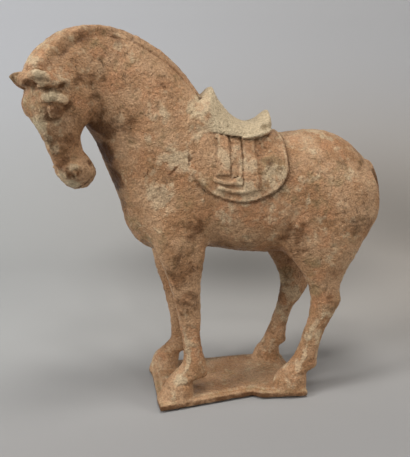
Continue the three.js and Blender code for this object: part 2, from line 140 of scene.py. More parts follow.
SADDLE = [
    (-25, 254.5, -51, 217.5, 32.2, 0), (-20, 259, -46, 207, 33, 0), (-15, 262.5, -39, 200, 33, 0),
    (-10.5, 254, -28, 200, 33, 0), (-3, 244.5, -15, 202.5, 33, 0), (6, 237.3, 0, 205.5, 32, 0),
    (15, 234.8, 13, 209.5, 30.5, 0), (23, 236.5, 21, 214, 28, 0), (29, 240.5, 27, 216.5, 23.5, 0),
    (33, 244, 31, 216.5, 17, 0), (35, 240, 34, 218, 9, 0),
]
UNDER_SADDLE = [
    (-20, 228, -20, 190, 30, 0), (-6, 226, -6, 190, 30, 0), (8, 225, 8, 190, 30, 0),
    (20, 225, 20, 190, 29, 0), (29, 224, 29, 192, 26, 0),
]
EAR = [
    (-145, 266.5, -146, 260.5, 3, -12.5), (-152, 269.5, -152, 260, 4.6, -13.5),
    (-160, 272, -160, 259.5, 5, -14.8), (-167, 271.5, -166, 261.5, 4, -14.5),
    (-172.5, 269.5, -172.5, 266.5, 1.6, -13),
]

# Straps that hang below the saddle: (left x, right x, z of the foot, height above the flank)
STRAPS = [(-17, -7.4, 194, 4.6), (-5.6, 3, 186, 3.7), (4.6, 14.6, 181.5, 4.6)]
STRAP_TOP_Z = 232
STRAP_FLARE = 1.2

# Lower edge of the saddle in the side view, as (x, z)
SADDLE_EDGE = [
    (-60, 228), (-42, 228.5), (-26, 227), (-14, 225.5), (-3, 223.5), (8, 222), (20, 223), (28, 226),
    (44, 230),
]

# Lines on the flank, as (x, z): grooves beside the straps, and rolled folds of cloth below them
STRAP_GROOVES = [
    [(-16.6, 222.5), (-17.6, 210), (-19, 194.5)],
    [(-6.4, 223), (-6.8, 206), (-7, 193)],
    [(3.8, 217), (3.4, 202), (3.2, 186)],
    [(14.6, 222), (15.6, 211), (16, 200), (15.2, 181)],
]
FOLDS = [
    [(-19, 190.6), (-13, 188.2), (-6.5, 188.2), (-1.5, 191.3)],
    [(-15.5, 184.6), (-9, 182.2), (0, 180.6), (9, 182)],
]
FOLD_GROOVES = [
    [(-18.8, 193.4), (-12, 191.4), (-6, 191.3), (-1, 193)],
    [(-16.5, 187.3), (-10, 185.3), (-4, 185.2), (2.5, 186.6)],
    [(-20, 182.6), (-9, 178.8), (2, 177.6), (13, 178.6)],
]
GROOVE_WIDTH = 1.1
GROOVE_DEPTH = 1.7
FOLD_GROOVE_DEPTH = 2
UNDERCUT_WIDTH = 1.8
UNDERCUT_DEPTH = 0.9
SADDLE_EDGE_SOFT = 1.5
SADDLE_GAP = 0.6
SADDLE_GAP_DEPTH = 0.1

# The cloth's front edge sinks into the shoulder above this height and ahead of this place
CLOTH_FADE_X = (-38, -24)
CLOTH_FADE_Z = (186, 206)

# Shape of the sections: 1 is an ellipse and less is boxier, and how much narrower the front or top is
TRUNK_FULLNESS = 0.9
HEAD_FULLNESS = 0.86
LEG_FULLNESS = 0.92
BAND_FULLNESS = 0.75
UNDER_SADDLE_FULLNESS = 0.6
TRUNK_TAPER = 0.04
NECK_TAPER = 0.22
NECK_TAPER_SECTIONS = (9, 14)
HEAD_TAPER = 0.2
DOME_STEPS = 6

# How softly forms run into the trunk, in millimetres
SHARP_JOIN = 0.01
UNDER_SADDLE_JOIN = 3
HEAD_JOIN = 5
LEG_JOIN = 9
TAIL_JOIN = 1.5
MANE_JOIN = 1.2
SADDLE_JOIN = 0.7
SLAB_JOIN = 2.5

# Modelling of the head, before the turn. A lump is a centre and radii, and a rope is a row of
# (x, y, z, radius). Places are on the left side, and most are repeated on the right side.
CHEEK = ((-129, -11.5, 248), (12, 7, 15))
FOREHEAD = ((-157.5, 7, 248.5), (8, 9.5, 10))
RIGHT_ORBIT = ((-154.5, 14, 248.5), (8, 7.4, 9))
EYEBALL = ((-154, -14, 243.8), (7.2, 3.7, 5.6))
EYE_CORNERS = [((-161, -12.8, 246), (1.8, 1.8, 2.2)), ((-146.6, -17.8, 246.4), (1.3, 2, 2.8))]
NOSTRIL_FLARE = ((-137, -8, 199), (7.5, 4.4, 6.5))
RIGHT_NOSTRIL_FLARE = ((-136.5, 6.4, 198), (7, 4.4, 6))
BROW = [
    (-162, -11.6, 253.4, 2.4), (-158.8, -14.4, 254.4, 4), (-155.4, -15.2, 254, 3.5),
    (-151.6, -16.4, 251.8, 5), (-148, -16, 249.6, 3.4),
]
RIGHT_BROW = [(-158, 15, 256, 2), (-151, 18, 255, 2.5), (-146, 17, 251.5, 2)]
LID_GROOVE = [(-160, -14.4, 248.2, 0.6), (-154.5, -18.9, 248.6, 0.9), (-148.6, -18.8, 247.6, 0.9)]
EYE_GROOVE = [
    (-146, -18.6, 247.5, 1), (-145.8, -17.6, 243.6, 0.9), (-148.8, -17.8, 239.6, 0.6),
    (-153.8, -17.4, 237.6, 0.5), (-158.6, -15, 238.6, 0.5),
]
TEAR_DUCT = [(-160, -12.6, 242.6, 1.4), (-158.8, -11.2, 239.6, 1.5), (-157.6, -9.9, 235.8, 1)]
NOSE_EDGE = [
    (-163.6, -4.4, 240, 0.3), (-159.2, -5, 230, 0.6), (-154.8, -4.6, 219, 0.6), (-152, -3.4, 211, 0.3),
]
JAW_GROOVE = [
    (-134, -19, 266, 1.2), (-126, -19.6, 260.5, 2), (-119.5, -19.6, 253, 2.8),
    (-116.5, -18.8, 245.5, 3.2), (-116.3, -16.2, 238, 3), (-117.5, -11.5, 233, 1.8),
]
FACE_GROOVES = [
    [(-146, -12, 232, 0.5), (-143.6, -11.6, 226.5, 0.9), (-142.6, -10.7, 220, 0.5)],
    [(-137, -12.4, 230.5, 0.5), (-134.8, -11.5, 223, 1), (-132.8, -10.1, 215, 0.5)],
]
NOSTRILS = [
    [(-143.4, -10.4, 197.8, 1.4), (-141, -11.8, 196, 2.4), (-137.8, -11, 194.4, 2.1)],
    [(-133.4, -12, 194, 1.2), (-132.2, -12.3, 196.4, 1.7), (-131, -12, 198, 1.2)],
]
NOSTRIL_RIM = [
    (-143, -9, 201.6, 1), (-138.6, -11, 202.6, 1.9), (-134, -12, 201.4, 1.9), (-129, -10.5, 199.6, 1.1),
]
MOUTH = [
    (-122.3, -9.2, 205.6, 1.6), (-119.8, -10, 200, 1.2), (-120.3, -10.5, 194.8, 1),
    (-123, -9, 189.8, 0.9), (-128, -6.5, 186, 0.7), (-133, 0, 184.4, 0.6),
]
EAR_ROLLS = [
    [
        (-173, -12, 268.6, 1.6), (-170, -13.6, 270, 2.6), (-166, -15.2, 269.4, 3),
        (-161, -16.2, 267.4, 2.2),
    ],
    [
        (-164, -9, 261.8, 1.4), (-161.5, -14, 262.2, 2.1), (-158, -16.6, 263, 2.4),
        (-154, -17.6, 264, 2.3), (-149.5, -17.6, 265, 2), (-144, -16.6, 264.6, 1.4),
    ],
]
EAR_HOLLOW = [
    (-171, -15, 266.2, 0.6), (-168.6, -16.8, 265.9, 1.2), (-165.4, -18.6, 265.4, 1.4),
    (-161.5, -19.6, 265.2, 0.8),
]
EAR_GROOVE = [
    (-165.3, -4.6, 259.9, 0.8), (-162.5, -9, 259.2, 1.3), (-159.5, -13.9, 259.2, 1.6),
    (-156.2, -17.2, 260.4, 1.5), (-152, -18.7, 261.8, 1.3), (-148.5, -18.4, 261.8, 1.3),
    (-145, -17.6, 260.4, 1),
]
POLL = ((-166, 2, 266.5), (7, 9, 6))

# Line along the lower edge of the mane: between which sections of the trunk, how far below the top of the
# neck at the withers and at the forehead, and its radius
MANE_EDGE_SECTIONS = (9, 18)
MANE_EDGE_DROP = (4, 8)
MANE_EDGE_RADIUS = 0.8

# Saddle details on the left side, repeated on the right side, and damage on the left side only
CANTLE_HOLLOW = ((25.8, -24.8, 230.2), (4.2, 4, 4.2))
CANTLE_ROLL = [
    (4, -33, 222.4, 0.8), (12.7, -32, 222.9, 1.7), (18.5, -30.5, 224.2, 2.1), (24.5, -27.4, 225.8, 2.2),
    (31.5, -17.5, 227.6, 1.6),
]
CRACKS = [
    [(-80, -29.8, 193.4, 0.1), (-77.7, -30.9, 196.4, 0.45), (-75.2, -31.5, 200.8, 0.1)],
    [(-58, -35, 194.8, 0.1), (-55, -35.5, 197.4, 0.6), (-51, -35.7, 201.2, 0.1)],
    [(-38.9, -34.9, 211, 0.1), (-39.1, -36.1, 207, 0.5), (-39.3, -36.4, 203, 0.2)],
    [(-62.4, -22.8, 263, 0.1), (-60.2, -22.9, 264, 0.4), (-58, -22.6, 265.2, 0.1)],
    [(-60.6, -23.5, 260.6, 0.1), (-58.6, -23.6, 261.6, 0.4), (-57, -23.4, 262.2, 0.1)],
]
PITS = [
    (95.8, -41.6, 154.6, 1.3), (70.4, -41.4, 121.7, 0.9), (77.9, -40.9, 114.3, 0.9),
    (-1, -42.2, 165.5, 0.7), (8.5, -42.2, 166, 0.6),
]

# Shallow lines around the tops of the hooves
CORONETS = [
    [(-61, -31, 17.5, 0.4), (-56.5, -40.5, 19.5, 0.7), (-46, -41, 20, 0.7), (-37, -37, 18.6, 0.4)],
    [(38, -31, 17, 0.4), (43, -39.6, 18.6, 0.7), (52, -41, 20.4, 0.7), (62, -37.6, 19.4, 0.4)],
    [(-62, 31, 17.5, 0.4), (-57, 39.5, 19.5, 0.7), (-46, 39.5, 20, 0.7)],
    [(36, 31, 17, 0.4), (42, 39, 18.6, 0.7), (52, 39.8, 20.4, 0.7)],
]

# How far from the surface recesses and edges are felt
RECESS_REACHES = (1.5, 3)
EDGE_REACHES = (1.5, 3)

# Where the saddle is, as (x, y, z, radius, strength) on the finished figure, and where its front fades
SADDLE_PLACES = [
    (-29, -28, 244, 13, 0.8), (-19, -6, 258, 9, 1), (-20, -30, 233, 9, 0.9), (-1, -27, 231, 13, 1),
    (14, -28, 228, 10, 1), (26, -12, 237, 15, 1), (-22, -16, 250, 14, 0.85), (-29, 28, 244, 16, 0.9),
    (-1, 27, 231, 15, 0.8), (26, 12, 237, 15, 0.8),
]
SADDLE_FRONT_X = (-27, -19)

# Thin remains of slip, as ropes before the turn, with their strength and reach
SLIP_LINES = [
    [
        (-163.9, -4.8, 239.2, 0.6), (-159.8, -5.6, 231.2, 0.9), (-156.7, -5.3, 223.1, 0.9),
        (-153.6, -5, 216.3, 0.5),
    ],
    [(-28.5, -38.2, 174.5, 0.6), (-28, -36.5, 163, 0.6), (-27.7, -34.2, 152.8, 0.4)],
    [(-164, -6, 276, 2), (-153, -5, 288.5, 1.6), (-134, -4, 301.5, 1.4), (-108, -3, 306, 1)],
    [(62, -41.5, 204, 0.4), (60, -42.5, 190, 0.5), (57, -42.5, 172, 0.5), (55, -42, 158, 0.3)],
    [(118, -11, 196, 0.3), (122, -10, 180, 0.4), (123, -10, 165, 0.4)],
    [
        (-44.5, -34.6, 70, 0.8), (-42.5, -35, 58, 1.6), (-41.4, -35.4, 46, 1.8), (-41, -36.4, 36, 1.8),
        (-46, -38, 28, 1),
    ],
    [
        (84, -37, 78, 0.8), (73, -37.5, 70, 1.2), (66, -36.5, 60, 1.6), (62, -37, 46, 1.8),
        (58, -38.4, 33, 2), (52, -39, 26, 1.4),
    ],
    [(-48, 33, 62, 0.6), (-47, 34, 45, 1), (-50, 35, 32, 1)],
]
SLIP_LINE_STRENGTH = 0.8
SLIP_LINE_REACH = 2.2

# Patches of each stain, as (x, y, z, radius, strength) on the finished figure. Some are painted light or
# painted shade, as noted beside them.
PATCHES = {
    "slip": [
        (-155, -37, 281, 9, 0.8), (-147, -34, 292, 9, 0.7), (-133, -26, 300, 8, 0.65),
        (-85, -19, 291, 13, 0.6), (-46, -28, 246, 12, 0.5), (-50, -34, 214, 20, 0.55),
        (-46, -35, 208, 12, 1), (-60, -33, 208, 9, 0.7), (-62, -34, 178, 12, 0.85),
        (-33, -36, 190, 10, 0.65), (-33, -34, 230, 12, 0.6), (72, -7, 226, 9, 0.85),
        (97, -38, 189, 10, 0.6), (53, -40, 189, 12, 0.55), (48, -41, 169, 10, 0.5),
        (7, -35, 143, 13, 0.55), (-48, -39, 25, 6, 0.95), (-55, -42, 13, 9, 0.5), (49, -40, 18, 11, 0.55),
        (-59, 25, 14, 11, 0.6), (78, -42, 125, 8, 0.6), (49, 21, 22, 9, 0.6), (-138, -24, 193, 8, 0.9),
        (-128, -25, 187, 9, 1), (-127, -37, 202, 5, 0.85), (-143, -53.5, 255.5, 7, 1.1),
        (-135, -51.5, 255.5, 8, 1.1), (-148.5, -58, 270, 8, 0.95), (-148, -55, 262, 5, 0.85),
        (-137, -53, 263, 5, 0.7), (-151, -44, 236, 7, 1.05), (-145, -41, 223, 5, 0.8),
        (-142, -37, 215, 5, 0.8), (-13, -43, 210, 11, 0.85), (-1, -40, 212, 9, 0.7),
        # The patch at (4, -46, 177) is painted light on the lower flank
        (9, -42, 205, 12, 0.85), (4, -46, 177, 13, 0.95), (-14, -43, 182, 8, 0.8),
        (26, -42, 190, 14, 0.7), (-6, -41, 165, 15, 0.75), (24, -41, 160, 13, 0.6), (86, -37, 74, 7, 0.7),
        (-156, -43, 254, 11, 0.5), (-153, -45, 246, 10, 0.5), (-149, -45, 240, 6, 0.8),
        # The first three patches here are painted light on the inside of the far hind leg
        (60, 23, 84, 14, 0.7), (66, 23, 74, 12, 0.95), (57, 24, 56, 11, 0.9), (-62, -30, 240, 12, 0.62),
    ],
    "pale": [
        (-155, -37, 281, 14, 0.7), (-147, -34, 292, 10, 0.5), (-156, -43, 252, 13, 0.45),
        (-152, -38, 232, 10, 0.9), (-148, -37, 218, 8, 0.9), (-138, -34, 195, 10, 0.9),
        (-128, -27, 188, 9, 0.9), (-148, -57, 271, 9, 0.8), (-140, -53, 255, 9, 0.8),
        # The patch at (60, 23, 80) is painted light on the far hind leg, and the one at (4, -46, 177) is
        # painted light on the lower flank
        (-2, -43, 190, 22, 0.55), (28, -42, 195, 15, 0.6), (-48, -39, 25, 6, 0.7), (60, 23, 80, 20, 0.6),
        (-46, -35, 208, 12, 0.6), (4, -46, 177, 12, 0.6),
    ],
    "rust": [
        (-106, -28, 288, 11, 0.7), (-67, -25, 263, 16, 0.55), (-72, -31, 237, 15, 0.55),
        (-78, -31, 202, 13, 0.6), (-118, -37, 248, 11, 0.8), (-11, -39, 165, 12, 0.8),
        (13, -41, 161, 15, 0.75), (34, -41, 169, 12, 0.6), (68, -41, 160, 13, 0.5),
        (73, -43, 139, 11, 0.75), (69, -39, 108, 10, 0.7), (-42, -36, 198, 12, 0.6),
        (80, -27, 215, 12, 0.6), (50, -20, 222, 12, 0.65), (-28, -38, 214, 8, 0.5),
        (-47, -39, 155, 10, 0.55), (-43, -38, 93, 8, 0.5), (-144, -40, 213, 7, 0.45),
        (112, -30, 190, 12, 0.5), (-92, -30, 268, 14, 0.7), (-3, -41, 168, 15, 1.2),
        (24, -41, 158, 12, 0.8), (60, -41, 150, 14, 0.65), (-33, -37, 60, 8, 0.9), (-33, -36, 48, 7, 0.9),
        (75, -36, 84, 9, 0.8), (-58, 26, 20, 7, 0.8), (122, -22, 160, 12, 0.6),
    ],
    # Umber patches are mostly soil stains; those on the front of the neck under the head, around the eye
    # under its brow and on the fold between belly and thigh are painted shade
    "umber_and_shade": [
        (-116, -37, 268, 11, 0.8), (-112, -34, 252, 10, 0.7), (-105, -32, 262, 10, 0.6),
        (-112, -27, 237, 11, 0.85), (-103, -16, 213, 12, 1), (-95, -10, 188, 12, 1.05),
        (-89, -11, 168, 9, 0.7), (-93, -28, 231, 14, 0.8), (-113, -25, 301, 10, 0.6),
        (-58, -23, 263, 3, 0.8), (-34, -39, 152, 9, 0.95), (-38, -40, 146, 8, 0.9),
        (-132, -37, 224, 12, 0.72), (-126, -34, 222, 9, 0.7), (-134, -36, 209, 9, 0.58),
        (-138, -48.5, 243, 10, 0.8), (-141, -50, 243.6, 4.5, 1.1), (-137, -49.5, 244, 5.5, 1.15),
        (-133.5, -47, 243, 5, 1), (-131, -44.5, 247, 5, 1.2), (-143, -45.5, 240, 5, 1),
        (-144, -53, 259.5, 4, 1.2), (-133, -47, 262, 4, 1.2), (-157.5, -46.5, 264.5, 4, 1),
        (-131, -34, 195.4, 4, 1), (-124, -33, 196.6, 3, 1.1), (-115.6, -26, 204, 4, 1),
        (-50, -41, 134, 13, 0.5), (-46, -39, 120, 17, 0.72), (-41, -37, 92, 17, 0.74),
        (-47, -40, 154, 8, 0.5), (13, -28, 134, 13, 0.55), (-11, -23, 135, 9, 0.55),
        (42, -38, 150, 12, 0.6), (71, -35, 205, 11, 0.5), (98, -40, 150, 13, 0.6),
        (112, -36, 150, 10, 0.6), (63, -29, 97, 8, 0.65), (57, 22, 104, 10, 0.35), (81, -40, 110, 7, 0.5),
        (89, -33, 205, 8, 0.5), (-78, -20, 150, 8, 0.5), (-104, -33, 279, 14, 0.6),
        (-92, -23, 297, 15, 0.55), (-107, -23, 229, 11, 1.15), (-92, -28, 286, 12, 0.5),
        (-86, -22, 262, 13, 0.45), (50, -38, 143, 14, 0.85), (52, -36, 130, 11, 0.8),
        (62, -41, 160, 18, 0.48), (66, -42, 147, 11, 0.42), (131, -8, 168, 16, 1),
        (132, -6, 186, 13, 0.8), (-134, -34, 202, 9, 0.8), (-60, 24, 92, 12, 0.4),
        (32, -38, 203, 13, 0.55), (28, -41, 186, 11, 0.4), (112, -30, 200, 14, 0.6),
        (72, -38, 70, 9, 0.5), (-132, -30, 298, 10, 0.35), (-38, -37, 70, 10, 0.5),
        (-166, -37, 267, 7, 0.7), (-141, -40, 226, 10, 0.7),
    ],
    "olive": [
        (-156, -43, 250, 11, 0.8), (-153, -38, 234, 8, 0.7), (-145, -43, 234, 7, 0.6),
        (-82, -19, 155, 12, 0.7), (-69, -20, 140, 11, 0.6), (-75, -19, 285, 11, 0.6),
        (-90, -26, 274, 11, 0.6), (42, -41, 181, 10, 0.6), (80, -40, 188, 16, 0.55),
        (67, -42, 172, 12, 0.6), (107, -27, 202, 10, 0.55), (27, -40, 201, 13, 0.85),
        (-27, -41, 191, 8, 0.6), (-31, -31, 238, 9, 0.6), (63, -40, 120, 10, 0.75), (66, -34, 94, 8, 0.6),
        (-55, -38, 123, 8, 0.6), (-6, -37, 150, 9, 0.4), (-63, -36, 147, 9, 0.55),
        (116, -31, 184, 7, 0.5), (58, 26, 90, 13, 0.85), (56, 26, 60, 9, 0.6), (-166, -37, 267, 8, 0.9),
        (-150, -44, 238, 8, 0.7),
    ],
    "cracked": [
        (-100, -32, 275, 28, 1), (-88, -28, 240, 26, 0.9), (-66, -30, 205, 20, 0.8),
        (108, -36, 160, 26, 1), (-48, -38, 120, 26, 0.9), (30, -38, 196, 14, 0.8), (60, 22, 90, 24, 0.9),
        (-136, -40, 222, 14, 0.6),
    ],
}


# What lies everywhere: a base amount, and noises that vary it as (size, seed, strength)
SPREAD = {
    "slip": (0.3, [(15, 24, 0.16), (38, 23, 0.12)]),
    "pale": (0.35, [(13, 30, 0.4)]),
    "rust": (0.28, [(24, 25, 0.25), (15, 24, 0.1)]),
    "umber_and_shade": (0.26, [(30, 26, 0.2), (12, 27, 0.14)]),
    "olive": (0.3, [(21, 28, 0.22), (9, 29, 0.12)]),
    "cracked": (0.35, [(24, 25, 0.35)]),
}

# Streaks down the legs, as (size, seed, strength), and how much a step upward counts beside one sideways
STREAKS = {"slip": (6, 31, 0.4), "rust": (7, 33, 0.35), "umber_and_shade": (8, 32, 0.4)}
STREAK_SQUASH = 0.45

# Heights by which parts are told apart: the legs and the slab's top rise from none to full between the first
# two and fade between the last two, and the slab, its side and its foot fade between two
LEG_HEIGHTS = (8, 14, 90, 130)
SLAB_TOP_HEIGHTS = (5.8, 6.6, 7.6, 9)
SLAB_HEIGHTS = (8, 10)
SLAB_SIDE_HEIGHTS = (5, 6.6)
FOOT_HEIGHTS = (0.9, 1.6)

# Weathered relief: noises as (size, seed, strength in millimetres), the slip's flakes, and pits
COARSE_RELIEF = [(26, 1, 0.45), (11, 2, 0.3)]
FINE_RELIEF = [(5, 3, 0.24), (2.6, 4, 0.2)]
FLAKES = [(9, 11, 1), (4, 12, 0.6), (2.2, 13, 0.3)]
FLAKE_HEIGHT = 0.3
PITTING = (3.4, 5)
PIT_DEPTH = 0.6
RAGGED = [(9, 21, 0.5), (4, 22, 0.3)]

# Noises of the material: size in millimetres, seed, detail and roughness
NOISES = {
    "grain": (1.4, 1, 2, 0.6),
    "small": (3, 2, 3, 0.55),
    "patchy": (7, 3, 4, 0.56),
    "broad": (26, 4, 4, 0.55),
    "cloudy": (11, 5, 4, 0.56),
    "stained": (8, 6, 4, 0.56),
    "specks": (2.2, 7, 1, 0.5),
    "wandering": (9, 8, 3, 0.6),
    "gaps": (6, 9, 1, 0.5),
}

# What lies on the clay: the noise that breaks up its border, by how much, between which values it goes
# from none to full, and how much it hides then
LAYERS = {
    "rust": ("cloudy", 1.9, 0.3, 0.87, 0.78),
    "olive": ("stained", 1.9, 0.34, 0.88, 0.62),
    "slip": ("patchy", 2.0, 0.42, 0.86, 0.68),
    "flecks": ("small", 2.2, 0.5, 0.95, 0.22),
    # Lighter edges: wear, with a painted highlight on the slab's edges
    "worn_edge_and_highlight": ("small", 1.2, 0.5, 1.3, 0.45),
    # Umber stains, with painted shade and a painted contact shadow
    "umber_and_shade": ("stained", 1.7, 0.34, 1.03, 0.82),
    # Dirt and painted shade in recesses
    "recess_dirt_and_shade": ("small", 0.9, 0.4, 1.6, 0.5),
    "cracked": ("gaps", 3, 0.8, 1.2, 0.5),
}

# Finest relief, in the material: its parts, its depth in millimetres and how much less the slab's top has
BUMP = {"flake": 0.3, "small": 0.5, "slip": 0.45, "scratch": -0.8}
BUMP_DEPTH = 1.0
BUMP_LESS_ON_TOP = 0.5


def linear(red, green, blue):
    """A colour given as it looks on a screen, from 0 to 255, as light."""
    return tuple(((value / 255 + 0.055) / 1.055) ** 2.4 for value in (red, green, blue)) + (1,)


# Colours of the clay and of what lies on it
CLAY_LIGHT = linear(187, 149, 113)
CLAY_DARK = linear(164, 122, 85)
RUST = linear(185, 134, 95)
OLIVE = linear(148, 127, 90)
SLIP_WARM = linear(205, 177, 142)
SLIP_PALE = linear(203, 186, 153)
# Umber brown for soil stains, also used for painted shade and a painted contact shadow
UMBER_AND_SHADE = linear(96, 59, 29)
# Dark brown for dirt in scratches, and for dirt and painted shade in recesses
DIRT_AND_SHADE = linear(86, 57, 32)
GRAIN_DARK = linear(206, 206, 206)
GRAIN_LIGHT = linear(255, 255, 255)

# Floor and backdrop: their sizes, their colours, and between which places they change, in metres
FLOOR_WIDTH = 4
FLOOR_FRONT = -1.5
FLOOR_BEND = 0.4
FLOOR_BEND_STEPS = 12
BACKDROP_Y = 0.85
BACKDROP_HEIGHT = 2.2
# These colours carry painted light and shade: lighter to the left and up the backdrop, darker to the right
# and near the front
FLOOR_NEAR_PAINTED_SHADE = linear(146, 144, 142)
FLOOR_LEFT_PAINTED_LIGHT = linear(168, 168, 166)
FLOOR_RIGHT_PAINTED_SHADE = linear(160, 153, 145)
BACKDROP_LEFT_PAINTED_LIGHT = linear(183, 184, 187)
BACKDROP_RIGHT_PAINTED_LIGHT = linear(177, 177, 178)
FLOOR_FADE_X = (-0.4, 0.5)
FLOOR_FADE_Y = (-0.15, 0.2)
FLOOR_FADE_Z = (0.0, 0.4)

# Painted soft shadows of the figure on the floor: place, radius in metres and strength
FLOOR_PAINTED_SHADOW = linear(104, 101, 96)
FLOOR_PAINTED_SHADOWS = [((0.12, 0.4, 0), 0.27, 0.8), ((0.48, 0.6, 0.03), 0.26, 0.42)]

# The photograph's viewing angle
CAMERA_PLACE = (-0.1222, -0.5286, 0.255)
CAMERA_PAN = math.radians(11)
CAMERA_TILT = math.radians(11.7)
CAMERA_LENS = 50.57
SENSOR_WIDTH = 36

# Lights: name, place, what it is aimed at, size, power and colour
LIGHTS = [
    ("left window", (-1.27, -0.46, 0.97), (0, 0, 0.12), 0.5, 13, (0.98, 0.99, 1)),
    ("low left", (-1.47, -0.54, 0.45), (0, 0, 0.12), 0.5, 6, (0.98, 0.99, 1)),
    ("low right", (1.2, -1.0, 0.45), (0, 0, 0.12), 0.5, 7, (1, 0.98, 0.96)),
    ("right window", (1.34, -0.24, 0.97), (0, 0, 0.12), 0.5, 4.5, (1, 0.98, 0.96)),
    ("front", (-0.16, -0.9, 1.43), (0, 0, 0.12), 0.3, 4, (1, 1, 1)),
    ("lamp", (-0.2, -1.15, 0.95), (0, 0, 0.12), 0.08, 2, (1, 0.99, 0.97)),
    ("top", (0, -0.28, 1.7), (0, 0, 0.1), 0.6, 13, (1, 1, 1)),
]
WORLD_COLOUR = (0.95, 0.97, 1, 1)
WORLD_STRENGTH = 0.03


# Smooth curves and sections
def between(a, b, c, d, t):
    """A smooth value between four neighbours."""
    slope0 = (c - a) / 2
    slope1 = (d - b) / 2
    t2 = t * t
    t3 = t2 * t
    return (2 * t3 - 3 * t2 + 1) * b + (t3 - 2 * t2 + t) * slope0 + (3 * t2 - 2 * t3) * c + (t3 - t2) * slope1


def sections_at(rows, places):
    """The sections at places along a row of sections, one row each."""
    rows = np.asarray(rows, float)
    last = len(rows) - 1
    i = np.minimum(np.floor(places).astype(int), last - 1)
    t = (places - i)[:, None]
    near = [rows[np.clip(i + k, 0, last)] for k in (-1, 0, 1, 2)]
    return between(*near, t)


def smoothstep(low, high, value):
    t = np.clip((value - low) / (high - low), 0, 1)
    return t * t * (3 - 2 * t)


def band(value, low, full, fading, high):
    """1 between two values, and smoothly less on both sides."""
    return smoothstep(low, full, value) * (1 - smoothstep(fading, high, value))


def turned(points):
    """Bends points of the neck or head to the horse's left."""
    points = np.array(points, float)
    x, y, z = points[:, 0], points[:, 1], points[:, 2]
    ahead = np.maximum(TURN_START_X - x, 0)
    bend = TURN_ANGLE / TURN_LENGTH
    angle = bend * np.minimum(ahead, TURN_LENGTH)
    past = np.maximum(ahead - TURN_LENGTH, 0)
    to_x = TURN_START_X - np.sin(angle) / bend - np.cos(angle) * past - np.sin(angle) * y
    to_y = -(1 - np.cos(angle)) / bend - np.sin(angle) * past + np.cos(angle) * y
    amount = smoothstep(TURN_FROM_Z, TURN_FULL_Z, z) * (ahead > 0)
    points[:, 0] = x + (to_x - x) * amount
    points[:, 1] = y + (to_y - y) * amount
    return points


def middles(sections):
    """The middle point of each section."""
    ax, az, bx, bz, _, y = sections.T
    return np.stack([(ax + bx) / 2, y, (az + bz) / 2], -1)


def form(rows, sides=72, per_row=8, ends=(0, 0), fullness=1, taper=None, place=None):
    """The points and faces of a form through its sections, with domed ends of the given heights."""
    dome = DOME_STEPS
    last = len(rows) - 1
    inside = np.linspace(0, last, last * per_row + 1)
    rise = np.arange(1, dome + 1) / dome * np.pi / 2
    along = np.concatenate([np.zeros(dome), inside, np.full(dome, last)])
    at_start = np.concatenate([rise[::-1], np.zeros(len(inside) + dome)])
    at_end = np.concatenate([np.zeros(dome + len(inside)), rise])
    size = np.cos(at_start + at_end)
    section = sections_at(rows, along)
    centre = middles(section)
    ax, az, bx, bz, half_width, _ = section.T
    reach = np.stack([(ax - bx) / 2, np.zeros(len(size)), (az - bz) / 2], -1)
    tips = middles(sections_at(rows, np.array([0, 0.2, last - 0.2, last])))
    out_start = tips[0] - tips[1]
    out_end = tips[3] - tips[2]
    centre += np.outer(ends[0] * np.sin(at_start), out_start / np.linalg.norm(out_start))
    centre += np.outer(ends[1] * np.sin(at_end), out_end / np.linalg.norm(out_end))
    turn = np.linspace(0, 2 * np.pi, sides, endpoint=False)
    cosine, sine = (np.sign(f(turn)) * np.abs(f(turn)) ** fullness for f in (np.cos, np.sin))
    points = centre[:, None] + reach[:, None] * (cosine[None] * size[:, None])[..., None]
    narrowing = 1 - (taper(along) if taper else 0 * along)[:, None] * np.cos(turn)[None]
    points[..., 1] += half_width[:, None] * sine[None] * size[:, None] * narrowing
    points = points.reshape(-1, 3)
    if place:
        points = place(points)
    ring = np.arange(sides)
    after = (ring + 1) % sides
    start = np.arange(len(along) - 1)[:, None] * sides
    faces = np.stack([start + ring, start + after, start + sides + after, start + sides + ring], -1)
    return points, faces.reshape(-1, 4)


def mirrored(rows):
    """The same rows on the horse's right side."""
    return [(ax, az, bx, bz, half, -y) for ax, az, bx, bz, half, y in rows]


# Soft joins and cuts between distances
def soft_min(a, b, soft):
    share = np.clip(0.5 + 0.5 * (b - a) / soft, 0, 1)
    return b + (a - b) * share - soft * share * (1 - share)


def soft_max(a, b, soft):
    return -soft_min(-a, -b, soft)


